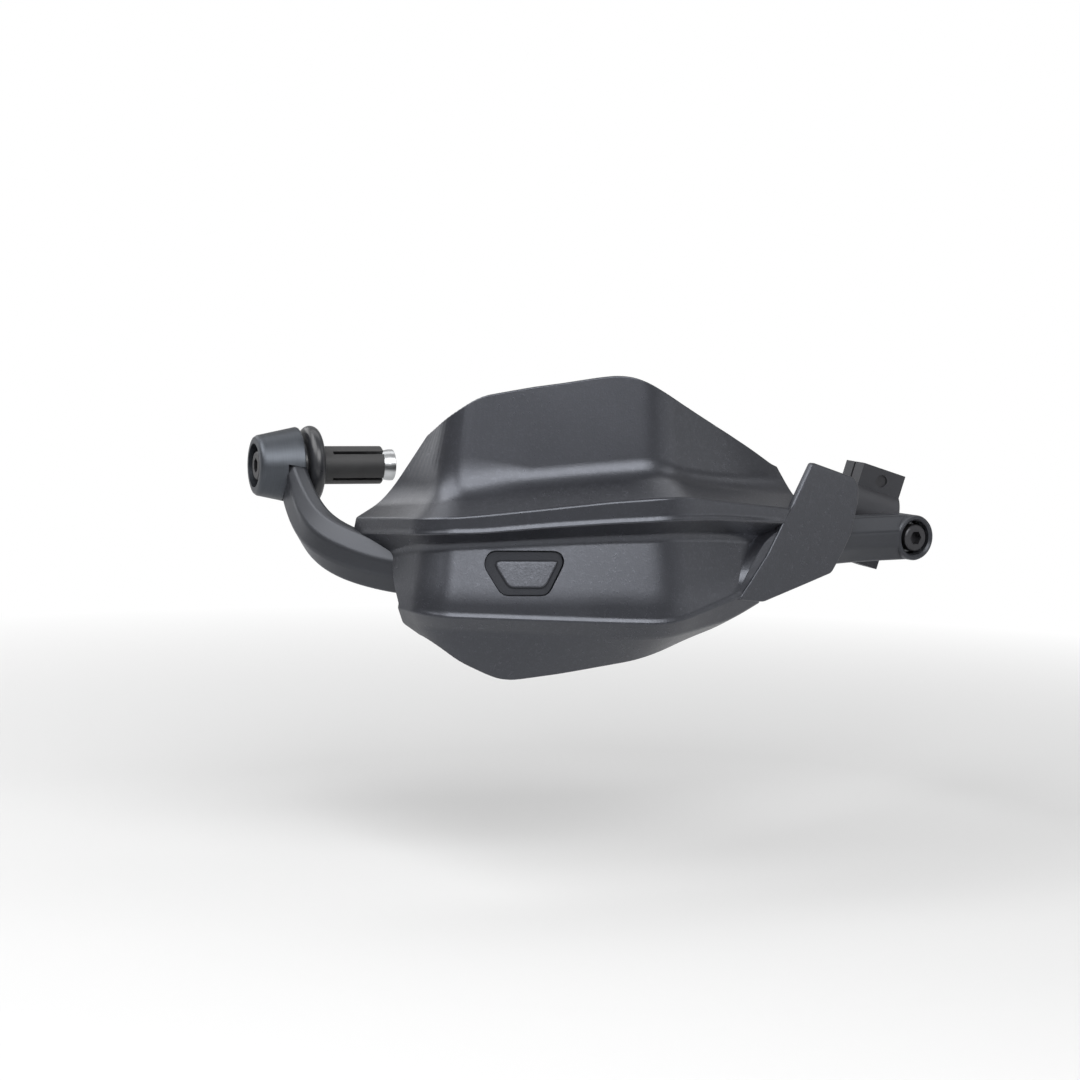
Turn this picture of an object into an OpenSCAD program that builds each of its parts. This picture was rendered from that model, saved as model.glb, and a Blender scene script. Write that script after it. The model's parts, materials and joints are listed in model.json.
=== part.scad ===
// Motorcycle hand guard for the right-hand end of a handlebar. A moulded shield is screwed to a
// cast brace. Outboard the brace hangs on an expanding bar-end weight, inboard on a split clamp.
// Frame: origin on the grip's axis, at the end face of the handlebar tube. +X runs inboard along
// the bar, -Y points forward in the riding direction, +Z is up. All sizes are in millimetres.

/* [Handlebar] */
// Outside diameter of the handlebar tube
bar_d = 22.2; // [22:0.1:23.4]
// Bore of the handlebar tube at its end
bar_bore_d = 17.8; // [16.8:0.1:19.4]
// Angle at which the bar falls where the inner clamp grips it
bar_fall = 17; // [12:1:20]
// Distance from the tube's end face to the middle of the inner clamp
clamp_x = 281; // [276:1:290]

/* [Shield] */
// Length of the shield from its outer tip to its inner edge, along the bar
shield_l = 237; // [228:1:246]
// Distance from the bar's axis to the foremost line of the shield
reach = 134; // [130:1:140]
// Height of the wing's crest above the bar's axis
wing_h = 47; // [38:1:56]
// Depth of the skirt's lowest point below the bar's axis
skirt_h = 86; // [78:1:94]
// Depth of the ledge between the front ridge and the wing
ledge_out = 15; // [12:1:18]
// How far the wing leans back between the ledge and its top edge
wing_lean = 7; // [3:1:10]
// Depth of the hollow under the ledge
hollow_depth = 6; // [4:0.5:8]
// Wall thickness of the moulding
wall = 3; // [2.4:0.1:3.4]
// How far the inner panel stands in front of the ridge line
panel_proud = 1; // [0.6:0.1:2]
// Diameter of the bosses that carry the inserts
boss_d = 12; // [10.5:0.5:15]

/* [Inlay] */
// Greatest width of the inlay in the band
inlay_w = 34; // [28:1:38]
// Height of the inlay
inlay_h = 19; // [15:1:22]
// Width of the sunk channel round the inlay's pad
inlay_channel = 4; // [2.5:0.5:5]
// Depth of the sunk channel
inlay_sink = 1; // [0.6:0.1:1.4]

/* [Brace] */
// Height of the brace's section
brace_h = 22; // [19:0.5:22.5]
// Thickness of the brace behind the shield
brace_t = 12; // [10:0.5:14]
// Distance from the shield's ridge line back to the middle of the brace
brace_back = 20; // [19:0.5:23]
// Thickness of the brace's outer eye
eye_t = 9; // [8:0.5:10]
// Diameter of the brace's outer eye
eye_d = 24; // [23.5:0.5:25]
// Thickness of the brace's inner end
end_t = 15; // [13.5:0.5:17]
// Height of the raised pads under the shield's bosses
pad_h = 1; // [0.5:0.1:1.5]

/* [Bar end] */
// Length of the bar-end weight
weight_l = 20; // [19:0.5:26]
// Diameter of the weight at its inner rim
weight_d = 36; // [34:0.5:40]
// Diameter of the weight at its outer end
weight_nose_d = 28; // [25:0.5:31]
// Diameter of the recess that holds the bolt's head
recess_d = 20; // [18.5:0.5:22]
// Depth of the recess that holds the bolt's head
recess_h = 9.5; // [9:0.5:11]
// Depth of the weight's rim over the brace's eye
weight_cover = 7.6; // [6:0.2:8.4]
// Diameter of the spacer ring
ring_d = 35; // [32:0.5:38]
// Width of the spacer ring's rounded rim
ring_w = 7; // [6:0.5:8]
// Length of the expanding sleeve inside the tube
sleeve_l = 30; // [26:1:38]

/* [Fasteners] */
// Thread diameter of the bar-end bolt and of the brace bolt
big_thread = 8; // [8:1:9]
// Thread diameter of the shield's screws
small_thread = 5; // [4:0.5:6]
// Thread diameter of the clamp's screws
clamp_thread = 6; // [5:0.5:6]
// Length of the threaded inserts in the shield
insert_l = 7; // [5:0.5:7.5]
// Wall of the threaded inserts
insert_wall = 1.1; // [0.8:0.1:1.3]
// Thickness of the large washers
big_washer_t = 1.6; // [1:0.1:2]
// Thickness of the small washers
small_washer_t = 1; // [0.8:0.1:1.4]

/* [Clamp] */
// Length of the clamp along the bar
clamp_l = 24; // [21:1:30]
// Wall of the clamp round the bar
clamp_wall = 5; // [4:0.5:6]
// Slot left between the two halves of the clamp
clamp_slot = 1.6; // [1:0.1:2.4]
// Thickness of the clamp's flanges
flange_t = 9; // [8.6:0.2:10.4]
// Distance from the bar's axis to the back of the brace's end
clamp_reach = 27.5; // [26.5:0.5:31]

/* [Hidden] */

// Radial clearances, by kind of fit
thread_gap = 0.05;
hole_gap = 0.25;
seat_gap = 0.3;

// Stations run along the front ridge from the outer tip, in millimetres at the nominal length.
// The plan of the ridge, as distance inboard and distance behind the foremost line, by station.
ridge_in = [[-20, -6], [0, 0], [60, 17], [165, 120], [307, 252], [330, 273]];
ridge_behind = [[-20, 97], [0, 78], [60, 21], [165, 0], [307, 54], [330, 63]];
nominal_l = 237;
stretch = shield_l / nominal_l;
first_station = 2;
last_station = 250;
columns = 46;
plan_blend = 26;
aim_blend = 90;
rail_blend = 12;

// Heights of the shield's lines by station
top_line = [[24, 14], [34, 19], [45, 23.4], [66, 32], [77, 37], [139, 46.2], [149, 47], [159, 45.2], [184, 35],
    [213, 23.5], [235, 13.3], [252, 4.5]];
crease_line = [[4, -10.8], [45, -5.5], [90, 0], [124, 3.4], [158, 6.2], [171, 5.5], [185, 1.9],
    [206, -0.7], [245, -4.1], [256, -5]];
ridge_line = [[0, -18.6], [38, -15.5], [78, -12.8], [109, -9.5], [138, -6.2], [161, -4.5],
    [173, -4.2], [191, -6.4], [239, -12.1], [250, -13.5]];
lip_line = [[2, -25.6], [40, -22], [71, -20], [82, -19.8], [109, -17.3], [138, -15.2], [166, -13.7],
    [190, -14.4], [231, -17.7], [246, -19]];
hollow_line = [[24, -32.5], [45, -28], [68, -25.5], [110, -23.5], [140, -22.1], [171, -21.4],
    [197, -22.7], [226, -25.2], [244, -27]];
band_line = [[30, -42], [60, -41], [100, -41], [165, -40], [236, -36]];
band_edge_line = [[37, -54], [67, -55.5], [97, -56.5], [134, -57.7], [163, -58.4], [172, -57.3],
    [184, -54.8], [206, -50], [216, -48]];
skirt_line = [[35, -61.4], [55, -61.1], [98, -62.9], [150, -65.4], [167, -65.1], [180, -64],
    [207, -60.2], [220, -56], [234, -52]];
bottom_line = [[46, -65.5], [58, -70], [70, -77.3], [86, -84.1], [94, -86], [103, -85.6], [125, -82.6],
    [157, -77.5], [170, -74.8], [191, -69.5], [207, -64.5], [220, -58.5], [234, -53]];
nominal_wing_h = 47;
nominal_skirt_h = 86;
skirt_root = 64;
top_scaled = [for (p = top_line) [p[0], p[1] * wing_h / nominal_wing_h]];
skirt_stretch = (skirt_h - skirt_root) / (nominal_skirt_h - skirt_root);
bottom_scaled = [for (p = bottom_line)
    [p[0], p[1] < -skirt_root ? -skirt_root + (p[1] + skirt_root) * skirt_stretch : p[1]]];

// One row for each line: first station, last station, depth behind the ridge, height, corner cut
wing_depth = ledge_out + wing_lean;
rows = [
    [34, 252, [[0, wing_depth]], top_scaled, 0],
    [4, 256, [[0, ledge_out]], crease_line, 6],
    [3.5, 250, [[0, 0]], ridge_line, 2.5],
    [2, 246, [[0, -1]], lip_line, 1.2],
    [24, 244, [[24, hollow_depth - 1], [60, hollow_depth], [175, hollow_depth], [225, hollow_depth + 1.5]],
        hollow_line, 3],
    [31, 238, [[30, 2], [150, 1.5], [175, 2], [225, 6.5]], band_line, 9],
    [37.4, 216, [[0, 0]], band_edge_line, 1.2],
    [35.5, 219, [[35, 5], [60, 6], [180, 6], [234, 2.5]], skirt_line, 1.5],
    [46, 219, [[46, 9], [58, 12], [70, 16], [85, 19], [95, 20], [170, 20], [191, 18], [215, 10], [234, 4]],
        bottom_scaled, 0]
];

// Inner panel: outline as station and height, and the wall that returns to the band
panel_station = 230;
panel_outline = [[254, 8.2], [284, 0.2], [287, -4], [286.8, -12.6], [283, -25.7], [277, -34.6],
    [270, -43], [250, -47.4], [224, -53], [207, -51], [213.4, -44.7], [226, -31.3], [235.4, -18],
    [240.8, -11.4]];
panel_return = [[234.6, -19.3, 238.5, -20.4, 5.6], [233, -21.4, 235, -22.5, 6.5], [226, -31.3, 219, -32, 7],
    [216, -42, 209.5, -42.5, 5], [207, -51, 205.5, -51, 1.5]];
panel_corner = 2;

// Bosses: station and height of each
boss_outer = [67, -39.6];
boss_middle = [150, -39];
boss_inner = [222, -37.5];
bosses = [boss_outer, boss_middle, boss_inner];
gusset_t = 1.6;
gusset_reach = 4;
root = 4;
insert_d = small_thread + 2 * insert_wall;

// Inlay
inlay_spot = [100.5, -37.2];
inlay_round = 2.5;

// Bar end, as distances along X from the tube's end face
neck_l = 1.3;
neck_d = 22;
eye_in = -ring_w - neck_l;
eye_out = eye_in - eye_t;
weight_in = eye_out + weight_cover;
weight_out = weight_in - weight_l;
head_seat = weight_out + recess_h;
sleeve_d = bar_bore_d - 0.3;
bolt_tip = sleeve_l + 6;

// Clamp and brace end
bar_bend_x = 198;
bar_y = -5;
bolt_drop = 7.6;
end_turn = 10;
bar_spot = [clamp_x, bar_y, -(clamp_x - bar_bend_x) * tan(bar_fall)];
bar_yaw = -2;
end_aim = [sin(end_turn), -cos(end_turn), 0];
end_run = [cos(end_turn), sin(end_turn), 0];
end_back = [bar_spot[0], bar_spot[1], bar_spot[2] - bolt_drop] + end_aim * clamp_reach;
end_mid = end_back + end_aim * end_t / 2;
clamp_r = bar_d / 2 + thread_gap;
screw_offset = clamp_r + clamp_thread / 2 + 4;
flange_h = screw_offset + clamp_thread;

function unit(v) = v / norm(v);
function soft(t, s, w) = [for (k = [-4:4]) lookup(s + w * k / 8, t)] * [for (k = [-4:4]) 1 / 9];
function plan(s, w = plan_blend) = [soft(ridge_in, s, w) * stretch, soft(ridge_behind, s, w) - reach];
function run_at(s) = unit(plan(s + 1, aim_blend) - plan(s - 1, aim_blend));
function aim_at(s) = [run_at(s)[1], -run_at(s)[0]];
function spot(s, d, z) = let(p = plan(s) - aim_at(s) * d) [p[0], p[1], z];
function heading(s) = atan2(run_at(s)[1], run_at(s)[0]);

// Station of a row for a column, eased so that the row ends on the outline
function row_station(r, s) = s
    + (r[0] - first_station) * pow(max(0, 1 - (s - first_station) / 90), 2)
    + (r[1] - last_station) * pow(max(0, 1 - (last_station - s) / 80), 2);
function left_of(a, b) = let(e = unit(b - a)) [-e[1], e[0]];
// A profile of depth and height, moved inwards by w and mitred at its corners
function moved(p, w) = [for (i = [0:len(p) - 1])
    let(a = left_of(p[max(i - 1, 0)], p[max(i, 1)]),
        b = left_of(p[min(i, len(p) - 2)], p[min(i + 1, len(p) - 1)]))
    p[i] + w * (a + b) / (1 + a * b)];
function eased(a, p, b, c) = let(
    q = p + unit(a - p) * min(c, 0.45 * norm(a - p)),
    r = p + unit(b - p) * min(c, 0.45 * norm(b - p))) [q, (q + 2 * p + r) / 4, r];
// One column of the moulding's surface, w inside its outer face and pushed straight back
function column(s, w, push = 0) = let(
    st = [for (r = rows) row_station(r, s)],
    flat = moved([for (i = [0:len(rows) - 1])
        [soft(rows[i][2], st[i], rail_blend), soft(rows[i][3], st[i], rail_blend)]], w),
    p = [for (i = [0:len(rows) - 1]) spot(st[i], flat[i][0] + push, flat[i][1])],
    n = len(p) - 1)
    concat([p[0]], [for (i = [1:n - 1]) each eased(p[i - 1], p[i], p[i + 1], rows[i][4])], [p[n]]);
function reversed(v) = [for (i = [len(v) - 1:-1:0]) v[i]];
function station_of(i) = first_station + (last_station - first_station) * i / columns;

// Solid through closed loops of equal, even length, with strips across its two ends
module skin(loops) {
    n = len(loops[0]);
    m = len(loops) - 1;
    points = [for (l = loops) each l];
    sides = [for (i = [0:m - 1], j = [0:n - 1])
        let(a = i * n + j, b = i * n + (j + 1) % n)
        each [[a, b, b + n], [a, b + n, a + n]]];
    caps = [for (j = [0:n / 2 - 2])
        let(a = j, b = j + 1, c = n - 2 - j, d = n - 1 - j, k = m * n)
        each [[a, c, b], [a, d, c], [a + k, b + k, c + k], [a + k, c + k, d + k]]];
    faces = concat(sides, caps);
    bulk = [for (f = faces) points[f[0]] * cross(points[f[1]], points[f[2]])] * [for (f = faces) 1];
    polyhedron(points = points, faces = bulk < 0 ? faces : [for (f = faces) reversed(f)], convexity = 8);
}

// Part of the moulding between two depths inside its outer face
module moulding(w_out, w_in, i0 = 0, i1 = columns) {
    skin([for (i = [i0:i1])
        concat(column(station_of(i), w_out), reversed(column(station_of(i), w_in)))]);
}

// Everything from the middle of the wall to well behind the bosses
module behind_wall() {
    skin([for (i = [0:columns])
        concat(column(station_of(i), wall / 2), reversed(column(station_of(i), wall / 2, 2 * brace_back)))]);
}

// Frame at a station: local z points back from the shield
module facing_back(place, d) {
    translate(spot(place[0], d, place[1]))
        rotate([90, 0, heading(place[0])]) mirror([0, 0, 1]) children();
}

function band_back(s) = lookup(s, rows[5][2]) + wall;
function brace_depth(s) = brace_back + lookup(s, [[67, 3], [95, 0], [160, 0], [235, 4]]);
function boss_face(s) = brace_depth(s) - brace_t / 2 - pad_h;

module inner_panel() {
    pitch = norm(plan(panel_station + 10) - plan(panel_station)) / 10;
    translate(spot(panel_station, wall - panel_proud, 0)) rotate([90, 0, heading(250)])
        linear_extrude(wall)
            offset(r = panel_corner, $fn = 32) offset(delta = -panel_corner)
                polygon([for (p = panel_outline) [(p[0] - panel_station) * pitch, p[1]]]);
    skin([for (p = panel_return) [
        spot(p[0] + wall + 0.5, wall - panel_proud, p[1]),
        spot(p[0] + 0.4, -panel_proud + 0.2, p[1]),
        spot(p[2], p[4], p[3]),
        spot(p[2] + wall, p[4] + wall - 0.5, p[3])]]);
}

module shield_boss(place) {
    depth = boss_face(place[0]) - band_back(place[0]) + root;
    facing_back(place, boss_face(place[0]) - depth) cylinder(d = boss_d, h = depth, $fn = 48);
}

// Web between a boss and the wall, at an angle round the boss
module boss_gusset(place, angle) {
    back = band_back(place[0]);
    rise = boss_face(place[0]) - back;
    facing_back(place, back) rotate([0, 0, angle]) hull() {
        translate([boss_d / 2 - 1, -gusset_t / 2, -root]) cube([1, gusset_t, rise + root - 1.5]);
        translate([boss_d / 2 + gusset_reach, -gusset_t / 2, -root]) cube([0.5, gusset_t, root]);
    }
}

module insert_hole(place) {
    h = insert_l + seat_gap;
    facing_back(place, boss_face(place[0]) - h)
        cylinder(d = insert_d + 2 * thread_gap, h = h + 1, $fn = 48);
}

module inlay_outline(grow) {
    w = inlay_w / 2;
    h = inlay_h / 2;
    r = inlay_round;
    offset(r = r + grow, $fn = 32) offset(delta = -r)
        polygon([[-w + 3, h], [w - 2, h], [w, h - 5.5], [w - 6, -h], [-w + 8, -h], [-w, h - 6]]);
}

module inlay_prism(grow) {
    translate(spot(inlay_spot[0], 3 * wall, inlay_spot[1])) rotate([90, 0, heading(120)])
        linear_extrude(5 * wall) inlay_outline(grow);
}

module shield() {
    color("#47484d") difference() {
        union() {
            moulding(0, wall);
            inner_panel();
            intersection() {
                union() {
                    for (b = bosses) shield_boss(b);
                    for (b = bosses, a = [0, 90, 180]) boss_gusset(b, a);
                }
                behind_wall();
            }
        }
        for (b = bosses) insert_hole(b);
        inlay_prism(0);
    }
}

module inlay_cap() {
    from = 13;
    to = 26;
    color("#4c4d52") union() {
        intersection() {
            inlay_prism(-seat_gap);
            moulding(inlay_sink + seat_gap, wall + 0.5, from, to);
        }
        intersection() {
            inlay_prism(-inlay_channel);
            moulding(seat_gap, wall, from, to);
        }
        intersection() {
            inlay_prism(2);
            moulding(wall + seat_gap, wall + 1.6, from, to);
        }
    }
}

module tube(r_out, r_in, h) {
    difference() {
        cylinder(r = r_out, h = h, $fn = 64);
        translate([0, 0, -1]) cylinder(r = r_in, h = h + 2, $fn = 64);
    }
}

module threaded_insert(place) {
    color("#b9975b") facing_back(place, boss_face(place[0]) - insert_l)
        tube(insert_d / 2, small_thread / 2 + thread_gap, insert_l);
}

// Screw with a round head and a hexagon socket, head at the top of +z and its seat at z = 0
module socket_screw(thread, head_r, head_h, length, key) {
    difference() {
        union() {
            translate([0, 0, -length]) cylinder(d = thread, h = length + 0.5, $fn = 48);
            rotate_extrude($fn = 64) polygon([[0, 0], [head_r, 0], [head_r, head_h - 0.6],
                [head_r - 0.6, head_h], [0, head_h]]);
        }
        translate([0, 0, head_h / 2]) cylinder(d = key / cos(30), h = head_h, $fn = 6);
    }
}

screw_seat = brace_t / 2 - 1.2;
module shield_screw(place) {
    d = brace_depth(place[0]) + screw_seat + small_washer_t;
    color("#2b2b2d") facing_back(place, d)
        socket_screw(small_thread, small_thread * 0.95, small_thread * 0.66,
            d - boss_face(place[0]) + insert_l - 1, small_thread * 0.6);
}

module shield_washer(place) {
    color("#6d6f73") facing_back(place, brace_depth(place[0]) + screw_seat)
        tube(small_thread * 1.2, small_thread / 2 + hole_gap, small_washer_t);
}

// Control points of the brace: position, thickness, height, front chamfer's height and depth
lean = reach / 134;
brace_path = concat([
    [(eye_in + eye_out) / 2, 0, 0, eye_t - 0.4, brace_h, 2, 2],
    [(eye_in + eye_out) / 2 - 1, -20 * lean, -16, eye_t + 1.6, brace_h, 5, 4],
    [-12, -40 * lean, -28, eye_t + 3, brace_h, 7, 5],
    [-4, -56 * lean, -34, brace_t, brace_h + 1, 7.5, 4.5],
    [8, -68 * lean, -38, brace_t, brace_h, 7.5, 4.5],
    [20, -79 * lean, -39.6, brace_t, brace_h, 7.5, 4.5]],
    [for (s = [67, 87, 106, 128, 150, 174, 198, 222])
        let(p = spot(s, brace_depth(s), lookup(s, bosses)))
        [p[0], p[1], p[2], brace_t, brace_h, 7.5, 4.5]],
    [for (k = [72, 38, 0])
        let(p = end_mid - end_run * k - [0, k == 72 ? 12 : 0, 0])
        [p[0], p[1], p[2], end_t - 0.6, brace_h, 7.5, 4.5]]);

function spline(p, i, t) = ((1 - t) ^ 3 * p[i] + (3 * t ^ 3 - 6 * t ^ 2 + 4) * p[i + 1]
    + (-3 * t ^ 3 + 3 * t ^ 2 + 3 * t + 1) * p[i + 2] + t ^ 3 * p[i + 3]) / 6;
function ring(c, t) = let(
    side = unit(cross(t, [0, 0, 1])),
    up = unit(cross(side, t)),
    o = [c[0], c[1], c[2]],
    a = c[3] / 2,
    b = c[4] / 2)
    [for (q = [[a, b - c[5]], [a - c[6], b], [2 - a, b], [-a, b - 2],
        [-a, 2 - b], [2 - a, -b], [a - c[6], -b], [a, c[5] - b]]) o + side * q[0] + up * q[1]];
function head(v) = [v[0], v[1], v[2]];

module brace_sweep() {
    n = len(brace_path) - 1;
    p = concat([2 * brace_path[0] - brace_path[1]], brace_path, [2 * brace_path[n] - brace_path[n - 1]]);
    steps = 4;
    skin([for (i = [0:n - 1], k = [0:(i == n - 1 ? steps : steps - 1)])
        let(t = k / steps, e = 0.01)
        ring(spline(p, i, t), unit(head(spline(p, i, t + e)) - head(spline(p, i, t - e))))]);
}

// Frame at the brace's inner end: local z points forward along the bolt
module at_end(offset) {
    translate(end_back + end_aim * offset) rotate([90, 0, end_turn]) children();
}

module brace() {
    color("#3f4146") difference() {
        union() {
            brace_sweep();
            translate([eye_out, 0, 0]) rotate([0, 90, 0]) cylinder(d = eye_d, h = eye_t, $fn = 64);
            at_end(0) cylinder(d = brace_h, h = end_t, $fn = 64);
            for (b = bosses)
                facing_back(b, boss_face(b[0])) cylinder(d = boss_d + 1, h = brace_t / 2, $fn = 48);
        }
        translate([eye_out - 1, 0, 0]) rotate([0, 90, 0])
            cylinder(d = big_thread + 2 * hole_gap, h = eye_t + 2, $fn = 64);
        at_end(-1) cylinder(d = big_thread + 2 * hole_gap, h = end_t + 2, $fn = 64);
        at_end(end_t - big_thread - big_washer_t) cylinder(d = big_thread * 2 + 1, h = end_t, $fn = 64);
        for (b = bosses) {
            facing_back(b, boss_face(b[0]) - brace_t)
                cylinder(d = boss_d + 2 * root, h = brace_t, $fn = 48);
            facing_back(b, boss_face(b[0]) - 1)
                cylinder(d = small_thread + 2 * hole_gap, h = 2 * brace_t, $fn = 48);
            facing_back(b, brace_depth(b[0]) + screw_seat)
                cylinder(d = small_thread * 2.4 + 1, h = brace_t, $fn = 48);
        }
    }
}

module brace_washer() {
    color("#6d6f73") at_end(end_t - big_thread - big_washer_t)
        tube(big_thread - 0.2, big_thread / 2 + hole_gap, big_washer_t);
}

module brace_bolt() {
    grip = end_t - big_thread;
    color("#2f3033") at_end(grip)
        socket_screw(big_thread, big_thread * 0.81, big_thread - 0.3, grip + 12, big_thread * 0.75);
}

module bar_end_weight() {
    nose = weight_nose_d / 2;
    rim = weight_d / 2;
    notch_w = eye_d - 0.8;
    out_dir = [0, -0.76, -0.65];
    color("#3a3f47") difference() {
        translate([weight_out, 0, 0]) rotate([0, 90, 0]) rotate_extrude($fn = 96) polygon([
            [0, 0], [nose - 2.4, 0], [nose - 1, 0.5], [nose - 0.2, 1.6], [nose, 2.6],
            [rim - 0.5, weight_l - 0.8], [rim - 0.7, weight_l - 0.2], [rim - 1.3, weight_l], [0, weight_l]]);
        translate([weight_out - 1, 0, 0]) rotate([0, 90, 0])
            cylinder(d = recess_d, h = recess_h + 1, $fn = 96);
        translate([weight_out - 1, 0, 0]) rotate([0, 90, 0])
            cylinder(d = big_thread + 2 * hole_gap, h = weight_l + 2, $fn = 64);
        translate([eye_out, 0, 0]) rotate([0, 90, 0])
            cylinder(d = eye_d + 2 * seat_gap, h = weight_l, $fn = 96);
        rotate([atan2(out_dir[2], out_dir[1]) + 180, 0, 0])
            translate([eye_out - seat_gap, -rim - 5, -notch_w / 2]) cube([weight_l, rim + 5, notch_w]);
    }
}

module bar_end_washer() {
    color("#6d6f73") translate([head_seat - big_washer_t, 0, 0]) rotate([0, 90, 0])
        tube(recess_d / 2 - 1.2, big_thread / 2 + hole_gap, big_washer_t);
}

module bar_end_bolt() {
    seat = head_seat - big_washer_t;
    color("#2f3033") translate([seat, 0, 0]) rotate([0, -90, 0])
        socket_screw(big_thread, big_thread * 0.81, big_thread - 1, bolt_tip - seat, big_thread * 0.75);
}

module spacer_ring() {
    r = ring_d / 2;
    f = ring_w / 2 - 0.6;
    color("#1d1e20") difference() {
        translate([-ring_w, 0, 0]) rotate([0, 90, 0]) rotate_extrude($fn = 96) union() {
            translate([0, -neck_l]) square([neck_d / 2, neck_l + 0.5]);
            square([r - f, ring_w]);
            translate([r - f, ring_w / 2]) scale([1, 1]) circle(r = ring_w / 2, $fn = 48);
        }
        translate([-ring_w - neck_l - 1, 0, 0]) rotate([0, 90, 0])
            cylinder(d = big_thread + 2 * hole_gap, h = ring_w + neck_l + 2, $fn = 64);
    }
}

taper_l = 12;
taper_rise = 2.2;
sleeve_bore_r = big_thread / 2 + 0.6;
module expander_sleeve() {
    color("#26272a") difference() {
        rotate([0, 90, 0]) cylinder(d = sleeve_d, h = sleeve_l, $fn = 96);
        translate([-1, 0, 0]) rotate([0, 90, 0]) cylinder(r = sleeve_bore_r, h = sleeve_l + 2, $fn = 64);
        translate([sleeve_l - taper_l, 0, 0]) rotate([0, 90, 0])
            cylinder(r1 = sleeve_bore_r, r2 = sleeve_bore_r + taper_rise, h = taper_l, $fn = 64);
        for (a = [45, 135]) rotate([a, 0, 0])
            translate([6, -0.8, -sleeve_d]) cube([sleeve_l, 1.6, 2 * sleeve_d]);
    }
}

module expander_wedge() {
    run = taper_l - 4;
    slope = taper_rise / taper_l;
    r0 = sleeve_bore_r + 4 * slope - seat_gap;
    r1 = sleeve_bore_r + taper_rise - seat_gap;
    color("#8d8f92") translate([sleeve_l - run, 0, 0]) rotate([0, 90, 0]) difference() {
        rotate_extrude($fn = 64) polygon([[0, 0], [r0, 0], [r1, run], [r1 + 0.7, run + 4], [r1 + 0.7, run + 6],
            [0, run + 6]]);
        translate([0, 0, -1]) cylinder(r = big_thread / 2 + thread_gap, h = run + 8, $fn = 64);
    }
}

// Frame of the clamp: local x along the bar, y back, z up across the bar
module at_clamp() {
    translate(bar_spot) rotate([0, bar_fall, bar_yaw]) children();
}

module clamp_half() {
    r = clamp_r + clamp_wall;
    translate([-clamp_l / 2, 0, 0]) intersection() {
        union() {
            rotate([0, 90, 0]) cylinder(r = r, h = clamp_l, $fn = 96);
            translate([0, 0, -flange_h]) cube([clamp_l, clamp_slot / 2 + flange_t, 2 * flange_h]);
        }
        translate([-1, clamp_slot / 2, -2 * flange_h]) cube([clamp_l + 2, 2 * r, 4 * flange_h]);
    }
}

module bar_bore() {
    translate([-clamp_l, 0, 0]) rotate([0, 90, 0]) cylinder(r = clamp_r, h = 2 * clamp_l, $fn = 96);
}

module clamp_body() {
    color("#2c2d30") difference() {
        union() {
            at_clamp() mirror([0, 1, 0]) clamp_half();
            at_end(-clamp_reach + clamp_r) cylinder(d = brace_h - 2, h = clamp_reach - clamp_r, $fn = 64);
        }
        at_clamp() bar_bore();
        at_clamp() for (x = [-1.5 * clamp_l, clamp_l / 2]) translate([x, 0, 0]) rotate([0, 90, 0])
            cylinder(r = clamp_r + 1.5, h = clamp_l, $fn = 96);
        at_clamp() for (z = [-screw_offset, screw_offset]) translate([0, 0, z]) rotate([90, 0, 0])
            cylinder(d = clamp_thread + 2 * thread_gap, h = flange_t + 2, $fn = 48);
        at_end(-14) cylinder(d = big_thread + 2 * thread_gap, h = 15, $fn = 64);
    }
}

module clamp_cap() {
    color("#2c2d30") at_clamp() difference() {
        clamp_half();
        bar_bore();
        for (z = [-screw_offset, screw_offset]) translate([0, 0, z]) rotate([-90, 0, 0]) {
            cylinder(d = clamp_thread + 2 * hole_gap, h = flange_t + 2, $fn = 48);
            translate([0, 0, clamp_slot / 2 + flange_t - 4])
                cylinder(d = clamp_thread * 1.8, h = 2 * flange_t, $fn = 48);
        }
    }
}

module clamp_screw(z) {
    seat = clamp_slot / 2 + flange_t - 4;
    color("#2f3033") at_clamp() translate([0, seat, z]) rotate([-90, 0, 0])
        socket_screw(clamp_thread, clamp_thread * 0.81, clamp_thread, seat + flange_t, clamp_thread * 0.75);
}

module shield_insert_outer() { threaded_insert(boss_outer); }
module shield_insert_middle() { threaded_insert(boss_middle); }
module shield_insert_inner() { threaded_insert(boss_inner); }
module shield_screw_outer() { shield_screw(boss_outer); }
module shield_screw_middle() { shield_screw(boss_middle); }
module shield_screw_inner() { shield_screw(boss_inner); }
module shield_washer_outer() { shield_washer(boss_outer); }
module shield_washer_middle() { shield_washer(boss_middle); }
module shield_washer_inner() { shield_washer(boss_inner); }
module clamp_screw_upper() { clamp_screw(screw_offset); }
module clamp_screw_lower() { clamp_screw(-screw_offset); }

shield();
inlay_cap();
shield_insert_outer();
shield_insert_middle();
shield_insert_inner();
shield_screw_outer();
shield_screw_middle();
shield_screw_inner();
shield_washer_outer();
shield_washer_middle();
shield_washer_inner();
brace();
brace_bolt();
brace_washer();
bar_end_weight();
bar_end_bolt();
bar_end_washer();
spacer_ring();
expander_sleeve();
expander_wedge();
clamp_body();
clamp_cap();
clamp_screw_upper();
clamp_screw_lower();
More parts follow.
